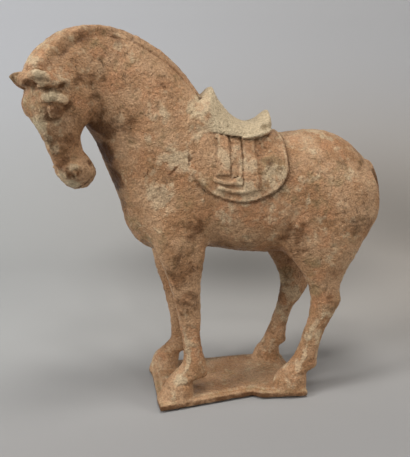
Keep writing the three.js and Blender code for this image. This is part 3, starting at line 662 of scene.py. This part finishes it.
class Clay:
    """The figure while it is modelled: distances to its surface on a grid, negative inside."""

    def __init__(self, low, high):
        self.first = np.floor(low / VOXEL).astype(int)
        self.count = np.ceil(high / VOXEL).astype(int) - self.first
        self.distance = np.full(self.count, REACH, np.float32)

    def window(self, low, high):
        """The cells that cover a box, their first index and the places of their points on each axis."""
        start = np.maximum(np.floor(np.asarray(low) / VOXEL).astype(int), self.first)
        stop = np.minimum(np.ceil(np.asarray(high) / VOXEL).astype(int) + 1, self.first + self.count)
        cells = tuple(slice(a, b) for a, b in zip(start - self.first, stop - self.first))
        x, y, z = (np.arange(a, b, dtype=np.float32) * VOXEL for a, b in zip(start, stop))
        return cells, start, (x[:, None, None], y[None, :, None], z[None, None, :])

    def solid(self, points, faces):
        """The distances to a closed form, with the cells that they are for."""
        cells, start, _ = self.window(points.min(0) - REACH, points.max(0) + REACH)
        grid = openvdb.FloatGrid.createLevelSetFromPolygons(
            points.astype(np.float32),
            quads=faces.astype(np.uint32),
            transform=openvdb.createLinearTransform(voxelSize=VOXEL),
            halfWidth=REACH / VOXEL,
        )
        distance = np.empty([c.stop - c.start for c in cells], np.float32)
        grid.copyToArray(distance, ijk=tuple(int(k) for k in start))
        return cells, distance

    def add(self, cells, distance, soft):
        self.distance[cells] = soft_min(self.distance[cells], distance, soft)

    def cut(self, cells, distance, soft):
        self.distance[cells] = soft_max(self.distance[cells], -distance, soft)

    def at(self, points):
        """The distance at each point, between the grid's points."""
        place = np.clip(points / VOXEL - self.first, 0, self.count - 1.001)
        base = np.floor(place).astype(int)
        part = place - base
        total = 0
        for corner in np.ndindex(2, 2, 2):
            weight = np.prod(np.where(corner, part, 1 - part), axis=1)
            i, j, k = (base + corner).T
            total = total + weight * self.distance[i, j, k]
        return total


def lump_distance(axes, centre, radii, angle=0):
    """Distances to an ellipsoid that is turned in plan."""
    x, y, z = (axis - c for axis, c in zip(axes, centre))
    forward = x * math.cos(angle) + y * math.sin(angle)
    outward = y * math.cos(angle) - x * math.sin(angle)
    a, b, c = radii
    near = np.sqrt((forward / a) ** 2 + (outward / b) ** 2 + (z / c) ** 2)
    far = np.sqrt((forward / a**2) ** 2 + (outward / b**2) ** 2 + (z / c**2) ** 2)
    return near * (near - 1) / np.maximum(far, 1e-6)


def rope_distance(axes, rope):
    """Distances to a round rope through points with radii, smooth between them."""
    rope = sections_at(rope, np.linspace(0, len(rope) - 1, (len(rope) - 1) * 4 + 1))
    nearest = np.float32(np.inf)
    for a, b in zip(rope[:-1], rope[1:]):
        run = b[:3] - a[:3]
        offset = [axis - p for axis, p in zip(axes, a[:3])]
        t = np.clip(sum(o * r for o, r in zip(offset, run)) / (run @ run), 0, 1)
        gap = np.sqrt(sum((o - r * t) ** 2 for o, r in zip(offset, run)))
        nearest = np.minimum(nearest, gap - (a[3] + (b[3] - a[3]) * t))
    return nearest


def bent(points):
    """Points of the head turned with it."""
    points = np.array(points, float)
    points[:, :3] = turned(points[:, :3])
    return points


def model_rope(clay, rope, soft, cut=False, sides=(1, -1)):
    """Adds or cuts a rope, as it is given and mirrored to the other side."""
    for side in sides:
        points = bent([(x, y * side, z, radius) for x, y, z, radius in rope])
        room = points[:, 3].max() + soft + 2
        cells, _, axes = clay.window(points[:, :3].min(0) - room, points[:, :3].max(0) + room)
        (clay.cut if cut else clay.add)(cells, rope_distance(axes, points), soft)


def model_lump(clay, lump, soft, cut=False, sides=(1, -1)):
    """Adds or cuts an ellipsoid, as it is given and mirrored to the other side."""
    (x, y, z), radii = lump
    ahead = np.clip(TURN_START_X - x, 0, TURN_LENGTH)
    for side in sides:
        middle = turned([(x, y * side, z)])[0]
        room = max(radii) + soft + 2
        cells, _, axes = clay.window(middle - room, middle + room)
        distance = lump_distance(axes, middle, radii, ahead * TURN_ANGLE / TURN_LENGTH)
        (clay.cut if cut else clay.add)(cells, distance, soft)


def segment_distance(start, end, x, z):
    """Distances in a plane to one straight stretch."""
    run_x, run_z = end[0] - start[0], end[1] - start[1]
    t = np.clip(((x - start[0]) * run_x + (z - start[1]) * run_z) / (run_x**2 + run_z**2), 0, 1)
    return np.hypot(x - start[0] - run_x * t, z - start[1] - run_z * t)


def path_distance(path, xs, zs):
    """Distances in a plane to an open path, on the grid of xs by zs."""
    x, z = xs[:, None], zs[None, :]
    path = sections_at(path, np.linspace(0, len(path) - 1, (len(path) - 1) * 5 + 1))
    return np.min([segment_distance(a, b, x, z) for a, b in zip(path[:-1], path[1:])], axis=0)


def outline_distance(corners, xs, zs):
    """Signed distances in a plane to a closed outline, negative inside, on the grid of xs by zs."""
    x, z = xs[:, None], zs[None, :]
    nearest = np.full((len(xs), len(zs)), np.inf)
    inside = np.zeros(nearest.shape, bool)
    for (x0, z0), (x1, z1) in zip(corners, np.roll(corners, -1, axis=0)):
        if (x0, z0) == (x1, z1):
            continue
        nearest = np.minimum(nearest, segment_distance((x0, z0), (x1, z1), x, z))
        if z0 != z1:
            crosses = ((z0 > z) != (z1 > z)) & (x < (z - z0) * (x1 - x0) / (z1 - z0) + x0)
            inside ^= crosses
    return np.where(inside, -nearest, nearest)


def bezier(*controls, steps=12):
    t = np.linspace(0, 1, steps + 1)[1:, None]
    p = np.asarray(controls, float)
    if len(p) == 3:
        return (1 - t) ** 2 * p[0] + 2 * t * (1 - t) * p[1] + t**2 * p[2]
    return (1 - t) ** 3 * p[0] + 3 * t * (1 - t) ** 2 * p[1] + 3 * t**2 * (1 - t) * p[2] + t**3 * p[3]


def cloth_outline():
    front = bezier((-38, 205), (-37, 185), (-15, 172), (5, 172.5))
    rear = bezier((5, 172.5), (20, 173), (41, 182), (41, 200))
    return np.vstack([[(-38, 238), (-38, 205)], front, rear, [(41, 238)]])


def strap_outline(left, right, foot):
    top = STRAP_TOP_Z
    flare = STRAP_FLARE
    return np.array([(left, top), (left - flare, foot), (right + flare, foot), (right, top)], float)


def neck_taper(along):
    return TRUNK_TAPER + (NECK_TAPER - TRUNK_TAPER) * smoothstep(*NECK_TAPER_SECTIONS, along)


def head_taper(along):
    return HEAD_TAPER + 0 * along


def mane_edge():
    """The line on the left side of the neck along the lower edge of the mane, before the turn."""
    start, end = MANE_EDGE_SECTIONS
    rope = []
    for k in range(start, end + 1):
        ax, az, bx, bz, half, _ = TRUNK[k]
        part = np.interp(k, MANE_EDGE_SECTIONS, MANE_EDGE_DROP) / math.hypot(bx - ax, bz - az)
        cosine = (1 - 2 * part) ** (1 / TRUNK_FULLNESS)
        width = half * (1 - cosine**2) ** (TRUNK_FULLNESS / 2) * (1 - neck_taper(k) * cosine)
        rope.append((ax + (bx - ax) * part, -width, az + (bz - az) * part, MANE_EDGE_RADIUS))
    return rope


def model_body(clay):
    """Trunk, neck, head, legs and tail, run softly into each other. Returns the flanks' own distances."""
    trunk = form(TRUNK, sides=96, ends=(5, 4), fullness=TRUNK_FULLNESS, taper=neck_taper, place=turned)
    flank_cells, flank = clay.solid(*trunk)
    clay.add(flank_cells, flank, SHARP_JOIN)
    under_saddle = form(UNDER_SADDLE, ends=(2, 2), fullness=UNDER_SADDLE_FULLNESS)
    clay.add(*clay.solid(*under_saddle), UNDER_SADDLE_JOIN)
    flank = clay.distance[flank_cells].copy()
    head = form(HEAD, ends=(3, 2), fullness=HEAD_FULLNESS, taper=head_taper, place=turned)
    clay.add(*clay.solid(*head), HEAD_JOIN)
    right_foreleg = mirrored(FORELEG[:3]) + LOWER_RIGHT_FORELEG
    right_hindleg = mirrored(HINDLEG[:2]) + LOWER_RIGHT_HINDLEG
    for rows in (FORELEG, right_foreleg, HINDLEG, right_hindleg):
        clay.add(*clay.solid(*form(rows, ends=(4, 0), fullness=LEG_FULLNESS)), LEG_JOIN)
    clay.add(*clay.solid(*form(TAIL, ends=(0, 2), fullness=BAND_FULLNESS)), TAIL_JOIN)
    clay.add(*clay.solid(*form(MANE, ends=(0, 1), fullness=BAND_FULLNESS, place=turned)), MANE_JOIN)
    model_rope(clay, mane_edge(), 1, cut=True)
    return flank_cells, flank


def model_saddlery(clay, flank_cells, flank):
    """The saddle cloth with its rim, the straps, the folds and the saddle."""
    first = [c.start + k for c, k in zip(flank_cells, clay.first)]
    xs, zs = ((np.arange(flank.shape[k]) + first[k]) * VOXEL for k in (0, 2))

    def across(values):
        """Values in the side view, the same right through the figure."""
        return values[:, None, :].astype(np.float32)

    def raised(region, height, soft, edge=0.6):
        clay.add(flank_cells, soft_max(flank - height, region, edge), soft)

    def grooved(region, level, soft=0.5):
        clay.cut(flank_cells, soft_max(level - flank, region, 0.4), soft)

    cloth = outline_distance(cloth_outline(), xs, zs)
    front = 1 - smoothstep(*CLOTH_FADE_X, xs)[:, None]
    proud = across(1 - front * smoothstep(*CLOTH_FADE_Z, zs)[None, :])
    raised(across(cloth), CLOTH_RAISE * proud - 0.6 * (1 - proud), 1)
    rim = np.abs(cloth + 1.5) - 1.1
    raised(across(rim), RIM_RAISE * proud - 0.6 * (1 - proud), 0.8)
    beside = np.abs(cloth - UNDERCUT_WIDTH / 2) - UNDERCUT_WIDTH / 2
    grooved(across(beside), 4 - (4 + UNDERCUT_DEPTH) * proud)
    for left, right, foot, height in STRAPS:
        raised(across(outline_distance(strap_outline(left, right, foot), xs, zs)), height, 0.6)
    for fold in FOLDS:
        raised(across(path_distance(fold, xs, zs) - FOLD_WIDTH / 2), FOLD_RAISE, 0.8, 1.2)
    for lines, depth in ((STRAP_GROOVES, GROOVE_DEPTH), (FOLD_GROOVES, FOLD_GROOVE_DEPTH)):
        for line in lines:
            grooved(across(path_distance(line, xs, zs) - GROOVE_WIDTH / 2), STRAP_RAISE - depth)
    saddle_cells, saddle = clay.solid(*form(SADDLE, ends=(1, 0.5)))
    edge_x, edge_z = np.transpose(SADDLE_EDGE)
    saddle_x, saddle_z = (
        (np.arange(cells.start, cells.stop) + start) * VOXEL
        for cells, start in zip(saddle_cells[::2], clay.first[::2])
    )
    below = across(np.interp(saddle_x, edge_x, edge_z)[:, None] - saddle_z[None, :])
    saddle = soft_max(saddle, below, SADDLE_EDGE_SOFT)
    trunk = np.full(clay.count, REACH, np.float32)
    trunk[flank_cells] = flank
    around = np.maximum(saddle - SADDLE_GAP, CLOTH_RAISE - SADDLE_GAP_DEPTH - trunk[saddle_cells])
    clay.cut(saddle_cells, around, 0.6)
    clay.add(saddle_cells, saddle, SADDLE_JOIN)
    model_rope(clay, CANTLE_ROLL, 1)
    model_lump(clay, CANTLE_HOLLOW, 1, cut=True)


def model_ears(clay):
    for rows in (EAR, mirrored(EAR)):
        clay.add(*clay.solid(*form(rows, sides=48, ends=(1, 1), place=turned)), 1.5)
    model_lump(clay, POLL, 3, sides=(1,))
    for roll in EAR_ROLLS:
        model_rope(clay, roll, 1.2, sides=(1,))
    model_rope(clay, EAR_HOLLOW, 0.8, cut=True)
    model_rope(clay, EAR_GROOVE, 0.8, cut=True, sides=(1,))


def model_eyes(clay):
    model_lump(clay, FOREHEAD, 6, sides=(1,))
    model_lump(clay, RIGHT_ORBIT, 6, sides=(1,))
    model_rope(clay, BROW, 3, sides=(1,))
    model_rope(clay, RIGHT_BROW, 3, sides=(1,))
    model_rope(clay, LID_GROOVE, 1, cut=True)
    for corner in EYE_CORNERS:
        model_lump(clay, corner, 1.5, cut=True, sides=(1,))
    model_lump(clay, EYEBALL, 1.6)
    model_rope(clay, EYE_GROOVE, 1.6, cut=True)
    model_rope(clay, TEAR_DUCT, 0.8, cut=True)


def model_muzzle(clay):
    model_lump(clay, NOSTRIL_FLARE, 3, sides=(1,))
    model_lump(clay, RIGHT_NOSTRIL_FLARE, 4, sides=(1,))
    model_rope(clay, NOSTRIL_RIM, 1.5)
    for hole in NOSTRILS:
        model_rope(clay, hole, 0.8, cut=True)
    model_rope(clay, MOUTH, 0.8, cut=True)


def model_head(clay):
    """Cheeks, jaw, nose, ears, eyes and muzzle."""
    model_lump(clay, CHEEK, 3)
    model_rope(clay, JAW_GROOVE, 3.5, cut=True)
    model_rope(clay, NOSE_EDGE, 3, sides=(1,))
    for groove in FACE_GROOVES:
        model_rope(clay, groove, 1.2, cut=True)
    model_ears(clay)
    model_eyes(clay)
    model_muzzle(clay)


def model_damage(clay):
    for line in CORONETS:
        model_rope(clay, line, 1, cut=True, sides=(1,))
    for crack in CRACKS:
        model_rope(clay, crack, 0.6, cut=True, sides=(1,))
    for x, y, z, radius in PITS:
        model_lump(clay, ((x, y, z), (radius,) * 3), 0.5, cut=True, sides=(1,))


def model_slab(clay):
    """The slab, with rounded edges that stand a little off the ground, joined to the hooves."""
    corners = np.array(SLAB_CORNERS, float)
    cells, _, (x, y, z) = clay.window((*corners.min(0) - REACH, -REACH), (*corners.max(0) + REACH, 20))
    plan = outline_distance(corners, x.ravel(), y.ravel())[:, :, None]
    middle = (SLAB_THICKNESS + SLAB_FOOT_HEIGHT) / 2
    inset = plan + SLAB_ROUND
    height = np.abs(z - middle) - (SLAB_THICKNESS - middle) + SLAB_ROUND
    outside = np.hypot(np.maximum(inset, 0), np.maximum(height, 0))
    plate = np.minimum(np.maximum(inset, height), 0) + outside - SLAB_ROUND
    foot = np.maximum(plan + SLAB_FOOT_INSET, np.abs(z - middle) - middle)
    clay.add(cells, plate.astype(np.float32), SLAB_JOIN)
    clay.add(cells, foot.astype(np.float32), SHARP_JOIN)


def model_figure():
    low, high = (np.array(corner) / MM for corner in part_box("horse_figure"))
    clay = Clay(low - MARGIN, high + MARGIN)
    model_saddlery(clay, *model_body(clay))
    model_head(clay)
    model_slab(clay)
    model_damage(clay)
    return clay


def noise(points, size, seed):
    """Smooth random values from -1 to 1 that vary over the given size."""
    count = 48
    lattice = np.random.default_rng(seed).uniform(-1, 1, (count,) * 3)
    place = points / size
    base = np.floor(place).astype(int)
    part = place - base
    part = part * part * (3 - 2 * part)
    total = 0
    for corner in np.ndindex(2, 2, 2):
        weight = np.prod(np.where(corner, part, 1 - part), axis=1)
        i, j, k = ((base + corner) % count).T
        total = total + weight * lattice[i, j, k]
    return total


def mixed(points, noises):
    """Several noises together, given as (size, seed, strength)."""
    return sum(strength * noise(points, size, seed) for size, seed, strength in noises)


def relief(points):
    """How far the weathered surface stands out of the smooth one, in millimetres."""
    height = mixed(points, COARSE_RELIEF) + mixed(points, FINE_RELIEF)
    height += FLAKE_HEIGHT * (smoothstep(-0.12, 0.12, mixed(points, FLAKES)) - 0.5)
    height -= PIT_DEPTH * smoothstep(0.6, 0.85, noise(points, *PITTING))
    on_slab = 1 - smoothstep(6, 12, points[:, 2])
    return height * (1 - 0.6 * on_slab)


def vertex_values(mesh, source, name):
    values = np.empty(len(mesh.vertices) * 3, np.float32)
    source.foreach_get(name, values)
    return values.reshape(-1, 3).astype(float)


def recess(clay, points, normals):
    """How deep each point lies between its surroundings, from 0 on a flat or round place to about 1."""
    return sum(np.clip(1 - clay.at(points + normals * reach) / reach, 0, 1) for reach in RECESS_REACHES)


def edge(clay, points, normals):
    """How sharply the surface turns outward at each point."""
    return sum(np.clip(1 + clay.at(points - normals * reach) / reach, 0, 1) for reach in EDGE_REACHES)


def patches(points, places, ragged):
    """The strongest of the patches at each point, with ragged borders."""
    strongest = np.zeros(len(points))
    for x, y, z, radius, strength in places:
        gap = np.linalg.norm(points - (x, y, z), axis=1) / radius
        strongest = np.maximum(strongest, strength * smoothstep(1.5, 0.3, gap + ragged * min(1, radius / 10)))
    return strongest


def rope_patches(points, ropes, ragged, reach):
    """Where the surface lies near any of the ropes, from 0 to 1."""
    strongest = np.zeros(len(points))
    for rope in ropes:
        gap = rope_distance(points.T, bent(rope)) + ragged
        strongest = np.maximum(strongest, smoothstep(reach, -0.25 * reach, gap))
    return strongest


def store(mesh, name, values):
    attribute = mesh.attributes.new(name, "FLOAT", "POINT")
    attribute.data.foreach_set("value", np.asarray(values, np.float32))


def amount(points, stain, ragged, more=0):
    """How much of a stain lies at each point: some everywhere, streaks down the legs, and patches."""
    base, noises = SPREAD[stain]
    value = base + more + mixed(points, noises)
    if stain in STREAKS:
        size, seed, strength = STREAKS[stain]
        streaks = noise(points * (1, 1, STREAK_SQUASH), size, seed)
        value = value + strength * band(points[:, 2], *LEG_HEIGHTS) * streaks
    return np.maximum(value, patches(points, PATCHES[stain], ragged))


def on_saddle(points, ragged):
    """Where the saddle is: its patches, and all of its seat above its lower edge."""
    above = points[:, 2] - np.interp(points[:, 0], *np.transpose(SADDLE_EDGE))
    along = smoothstep(*SADDLE_FRONT_X, points[:, 0]) * (points[:, 0] < SADDLE_EDGE[-1][0])
    return np.maximum(patches(points, SADDLE_PLACES, 0.4 * ragged), smoothstep(-1, 1, above) * along)


def umber_and_shade_amount(points, ragged, saddle, on_top):
    """Umber: soil stains with some painted shade, the slab's side darker (partly soil, partly painted shade),
    a painted contact shadow along its foot, and darker cracks and line below the mane.
    """
    # The slab's side is darker, partly soil and partly painted shade, and its foot gets a painted contact
    # shadow
    side = 1 - smoothstep(*SLAB_SIDE_HEIGHTS, points[:, 2])
    foot = 1 - smoothstep(*FOOT_HEIGHTS, points[:, 2])
    stains = amount(points, "umber_and_shade", ragged, 0.55 * side) * (1 - 0.7 * saddle) * (1 - 0.4 * on_top)
    in_cracks = rope_patches(points, CRACKS, 0, 0.9)
    below_mane = rope_patches(points, [mane_edge()], 3 * ragged, 2.4)
    return np.maximum.reduce([stains, 1.4 * foot, 1.2 * in_cracks, 0.75 * below_mane])


def tone_surface(mesh, clay):
    """Stores where dirt, wear, slip, stains and scratches lie, and where painted light, shade and highlight
    go, for the material.
    """
    points = vertex_values(mesh, mesh.vertices, "co") / MM
    normals = vertex_values(mesh, mesh.vertex_normals, "vector")
    ragged = mixed(points, RAGGED)
    on_top = band(points[:, 2], *SLAB_TOP_HEIGHTS)
    on_slab = 1 - smoothstep(*SLAB_HEIGHTS, points[:, 2])
    saddle = on_saddle(points, ragged)
    # A little more slip, so lighter, on faces that point upward
    lighter_facing_up = 0.12 * smoothstep(0.2, 0.9, normals[:, 2])
    lines = SLIP_LINE_STRENGTH * rope_patches(points, SLIP_LINES, 3 * ragged, SLIP_LINE_REACH)
    slip = np.maximum.reduce([amount(points, "slip", ragged, lighter_facing_up), lines, saddle])
    # Dirt and painted shade in recesses, darker the deeper a place lies
    store(mesh, "recess_dirt_and_shade", recess(clay, points, normals))
    # Lighter on edges: wear, with a painted highlight along the slab's edges
    store(mesh, "worn_edge_and_highlight", edge(clay, points, normals) * (1 + 0.4 * on_slab))
    store(mesh, "smooth", on_top)
    store(mesh, "slip", slip * (1 - 0.6 * on_top))
    store(mesh, "pale", np.maximum(amount(points, "pale", 0.5 * ragged), 0.85 * saddle))
    store(mesh, "rust", amount(points, "rust", ragged) * (1 - 0.7 * np.maximum(saddle, on_top)))
    store(mesh, "umber_and_shade", umber_and_shade_amount(points, ragged, saddle, on_top))
    store(mesh, "olive", amount(points, "olive", ragged, 0.3 * on_top))
    store(mesh, "cracked", amount(points, "cracked", ragged, -0.5 * saddle - on_top))


def mesh_of(clay):
    """The figure's surface as a mesh object, weathered and thinned to its number of triangles."""
    grid = openvdb.FloatGrid(REACH)
    grid.transform = openvdb.createLinearTransform(voxelSize=VOXEL)
    grid.copyFromArray(clay.distance, ijk=tuple(int(k) for k in clay.first))
    points, triangles, quads = grid.convertToPolygons(isovalue=0, adaptivity=0)
    mesh = bpy.data.meshes.new("horse_figure_clay")
    faces = quads.tolist() + triangles.tolist()
    mesh.from_pydata(points * MM, [], faces)
    mesh.update()
    normals = vertex_values(mesh, mesh.vertex_normals, "vector")
    points = points + normals * relief(points)[:, None]
    points[:, 2] = np.where(points[:, 2] < UNDERSIDE_BAND, 0, points[:, 2])
    mesh.vertices.foreach_set("co", (points * MM).astype(np.float32).ravel())
    piece = bpy.data.objects.new("horse_figure_clay", mesh)
    bpy.context.scene.collection.objects.link(piece)
    thin = piece.modifiers.new("thin", "DECIMATE")
    thin.ratio = min(1, TRIANGLES / (2 * len(quads) + len(triangles)))
    bpy.context.view_layer.objects.active = piece
    bpy.ops.object.modifier_apply(modifier=thin.name)
    piece.data.polygons.foreach_set("use_smooth", [True] * len(piece.data.polygons))
    tone_surface(piece.data, clay)
    print("figure", len(quads), "quads", len(piece.data.polygons), "faces kept")
    return piece


class Nodes:
    """Short ways to add nodes to a material."""

    def __init__(self, material):
        material.use_nodes = True
        self.tree = material.node_tree
        self.shader = self.tree.nodes["Principled BSDF"]
        self.place = self.add("ShaderNodeTexCoord").outputs["Object"]

    def add(self, kind, inputs=(), **settings):
        node = self.tree.nodes.new(kind)
        for name, value in settings.items():
            setattr(node, name, value)
        for key, value in dict(inputs).items():
            self.set(node.inputs[key], value)
        return node

    def set(self, socket, value):
        if isinstance(value, bpy.types.NodeSocket):
            self.tree.links.new(value, socket)
        else:
            socket.default_value = value

    def noise(self, size, seed, detail, roughness):
        """Noise of a size in millimetres."""
        inputs = {"Vector": self.place, "W": seed, "Scale": 1 / (size * MM)}
        inputs.update({"Detail": detail, "Roughness": roughness})
        return self.add("ShaderNodeTexNoise", inputs, noise_dimensions="4D").outputs["Fac"]

    def attribute(self, name):
        return self.add("ShaderNodeAttribute", attribute_name=name).outputs["Fac"]

    def math(self, operation, *values):
        return self.add("ShaderNodeMath", enumerate(values), operation=operation).outputs[0]

    def step(self, value, low, high, top=1.0):
        """A value that rises smoothly from 0 to the top as another goes from low to high."""
        inputs = {"Value": value, "From Min": low, "From Max": high, "To Min": 0.0, "To Max": top}
        return self.add("ShaderNodeMapRange", inputs, interpolation_type="SMOOTHSTEP").outputs["Result"]

    def broken(self, mask, grain, amount, low, high, top=1.0):
        """A mask whose border is broken up by noise."""
        swing = self.math("SUBTRACT", grain, 0.5)
        return self.step(self.math("MULTIPLY_ADD", swing, amount, mask), low, high, top)

    def mix(self, factor, first, second, blend="MIX"):
        node = self.add("ShaderNodeMix", data_type="RGBA", blend_type=blend)
        self.set(node.inputs[0], factor)
        self.set(node.inputs[6], first)
        self.set(node.inputs[7], second)
        return node.outputs[2]


def clay_material():
    """Worn slip over stained clay, with dirt and painted shade in the recesses, painted shade in the umber
    and a painted highlight on the slab's edges.
    """
    material = bpy.data.materials.new("clay")
    nodes = Nodes(material)
    noises = {name: nodes.noise(*settings) for name, settings in NOISES.items()}

    def layer(attribute, name=None):
        """How much of a layer covers each place, from where its attribute says that it lies."""
        grain, amount, low, high, top = LAYERS[name or attribute]
        return nodes.broken(nodes.attribute(attribute), noises[grain], amount, low, high, top)

    colour = nodes.mix(nodes.step(noises["broad"], 0.36, 0.64), CLAY_DARK, CLAY_LIGHT)
    colour = nodes.mix(layer("rust"), colour, RUST)
    colour = nodes.mix(layer("olive"), colour, OLIVE)
    pale = nodes.mix(nodes.attribute("pale"), SLIP_WARM, SLIP_PALE)
    slip = nodes.math("MAXIMUM", layer("slip"), layer("slip", "flecks"))
    colour = nodes.mix(slip, colour, pale)
    colour = nodes.mix(nodes.step(nodes.attribute("pale"), 0.55, 1.0, 0.55), colour, SLIP_PALE)
    # Lighter on edges: wear, and a painted highlight on the slab's edges
    colour = nodes.mix(layer("worn_edge_and_highlight"), colour, pale)
    # Umber stains, painted shade and a painted contact shadow
    colour = nodes.mix(layer("umber_and_shade"), colour, UMBER_AND_SHADE)
    # Dirt and painted shade in the recesses
    colour = nodes.mix(layer("recess_dirt_and_shade"), colour, DIRT_AND_SHADE)
    colour = nodes.mix(nodes.step(noises["specks"], 0.27, 0.22, 0.6), colour, UMBER_AND_SHADE)
    ridge = nodes.math("ABSOLUTE", nodes.math("SUBTRACT", noises["wandering"], 0.5))
    scratch = nodes.math("MULTIPLY", nodes.step(ridge, 0.016, 0.002), layer("cracked"))
    colour = nodes.mix(scratch, colour, DIRT_AND_SHADE)
    tone = nodes.mix(nodes.step(noises["grain"], 0.3, 0.7), GRAIN_DARK, GRAIN_LIGHT)
    nodes.set(nodes.shader.inputs["Base Color"], nodes.mix(1.0, colour, tone, "MULTIPLY"))
    nodes.set(nodes.shader.inputs["Roughness"], nodes.step(noises["patchy"], 0.0, 0.9, 0.97))
    nodes.shader.inputs["Specular IOR Level"].default_value = 0.2
    height = noises["grain"]
    flake = nodes.step(noises["small"], 0.4, 0.6)
    for name, bump in {"small": noises["small"], "flake": flake, "slip": slip, "scratch": scratch}.items():
        height = nodes.math("MULTIPLY_ADD", bump, BUMP[name], height)
    strength = nodes.math("MULTIPLY_ADD", nodes.attribute("smooth"), -BUMP_LESS_ON_TOP, 1.0)
    settings = {"Strength": strength, "Distance": BUMP_DEPTH * MM, "Height": height}
    nodes.set(nodes.shader.inputs["Normal"], nodes.add("ShaderNodeBump", settings).outputs["Normal"])
    return material


def floor():
    """A pale floor that curves up into a backdrop, with painted light and shade in its colours and painted
    soft shadows.
    """
    profile = [(FLOOR_FRONT, 0)]
    for k in range(FLOOR_BEND_STEPS + 1):
        angle = math.pi / 2 * k / FLOOR_BEND_STEPS
        y = BACKDROP_Y - FLOOR_BEND + FLOOR_BEND * math.sin(angle)
        profile.append((y, FLOOR_BEND - FLOOR_BEND * math.cos(angle)))
    profile.append((BACKDROP_Y, BACKDROP_HEIGHT))
    vertices = [(x, y, z) for x in (-FLOOR_WIDTH / 2, FLOOR_WIDTH / 2) for y, z in profile]
    n = len(profile)
    faces = [(k, k + 1, n + k + 1, n + k) for k in range(n - 1)]
    mesh = bpy.data.meshes.new("floor")
    mesh.from_pydata(vertices, [], [f[::-1] for f in faces])
    obj = bpy.data.objects.new("floor", mesh)
    bpy.context.scene.collection.objects.link(obj)
    mesh.polygons.foreach_set("use_smooth", [True] * len(mesh.polygons))
    material = bpy.data.materials.new("floor")
    nodes = Nodes(material)
    axes = nodes.add("ShaderNodeSeparateXYZ", {"Vector": nodes.place})
    # Painted light and shade: lighter to the left and up the backdrop, darker to the right and near the front
    across = nodes.step(axes.outputs["X"], *FLOOR_FADE_X)
    colour = nodes.mix(across, FLOOR_LEFT_PAINTED_LIGHT, FLOOR_RIGHT_PAINTED_SHADE)
    colour = nodes.mix(nodes.step(axes.outputs["Y"], *FLOOR_FADE_Y), FLOOR_NEAR_PAINTED_SHADE, colour)
    backdrop = nodes.mix(across, BACKDROP_LEFT_PAINTED_LIGHT, BACKDROP_RIGHT_PAINTED_LIGHT)
    upward = nodes.step(axes.outputs["Z"], *FLOOR_FADE_Z)
    colour = nodes.mix(upward, colour, backdrop)
    # Painted soft shadows of the figure on the floor
    for place, radius, strength in FLOOR_PAINTED_SHADOWS:
        ends = {0: nodes.place, 1: place}
        gap = nodes.add("ShaderNodeVectorMath", ends, operation="DISTANCE").outputs["Value"]
        colour = nodes.mix(nodes.step(gap, radius, 0.0, strength), colour, FLOOR_PAINTED_SHADOW)
    nodes.set(nodes.shader.inputs["Base Color"], colour)
    nodes.shader.inputs["Roughness"].default_value = 0.8
    nodes.shader.inputs["Specular IOR Level"].default_value = 0.1
    mesh.materials.append(material)
    obj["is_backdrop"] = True


def area_light(name, location, target, size, power, colour):
    data = bpy.data.lights.new(name, "AREA")
    data.shape = "DISK"
    data.size = size
    data.energy = power
    data.color = colour
    light = bpy.data.objects.new(name, data)
    light.location = location
    light.rotation_euler = (Vector(target) - Vector(location)).to_track_quat("-Z", "Y").to_euler()
    bpy.context.scene.collection.objects.link(light)


def lights():
    world = bpy.data.worlds.new("studio")
    world.use_nodes = True
    background = world.node_tree.nodes["Background"]
    background.inputs["Color"].default_value = WORLD_COLOUR
    background.inputs["Strength"].default_value = WORLD_STRENGTH
    bpy.context.scene.world = world
    for light in LIGHTS:
        area_light(*light)


def camera():
    data = bpy.data.cameras.new("camera")
    data.lens = CAMERA_LENS
    data.sensor_width = SENSOR_WIDTH
    data.sensor_fit = "AUTO"
    data.clip_start = 0.01
    obj = bpy.data.objects.new("camera", data)
    obj.location = CAMERA_PLACE
    obj.rotation_euler = (math.pi / 2 - CAMERA_TILT, 0, -CAMERA_PAN)
    bpy.context.scene.collection.objects.link(obj)
    bpy.context.scene.camera = obj


def corners(box):
    return [list(corner) for corner in box]


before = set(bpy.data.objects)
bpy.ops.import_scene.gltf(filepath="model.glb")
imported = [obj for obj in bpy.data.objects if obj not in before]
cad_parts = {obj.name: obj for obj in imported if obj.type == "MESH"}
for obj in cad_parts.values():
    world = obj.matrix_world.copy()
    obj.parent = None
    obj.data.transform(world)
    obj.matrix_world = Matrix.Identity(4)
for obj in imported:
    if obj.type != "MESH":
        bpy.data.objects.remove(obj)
cad_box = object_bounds()
camera()
floor()
lights()
figure = mesh_of(model_figure())
figure.data.materials.append(clay_material())
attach(figure, "root")
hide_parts("horse_figure")
bpy.context.scene.view_settings.view_transform = "Standard"
{"cad": corners(cad_box), "visual": corners(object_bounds())}
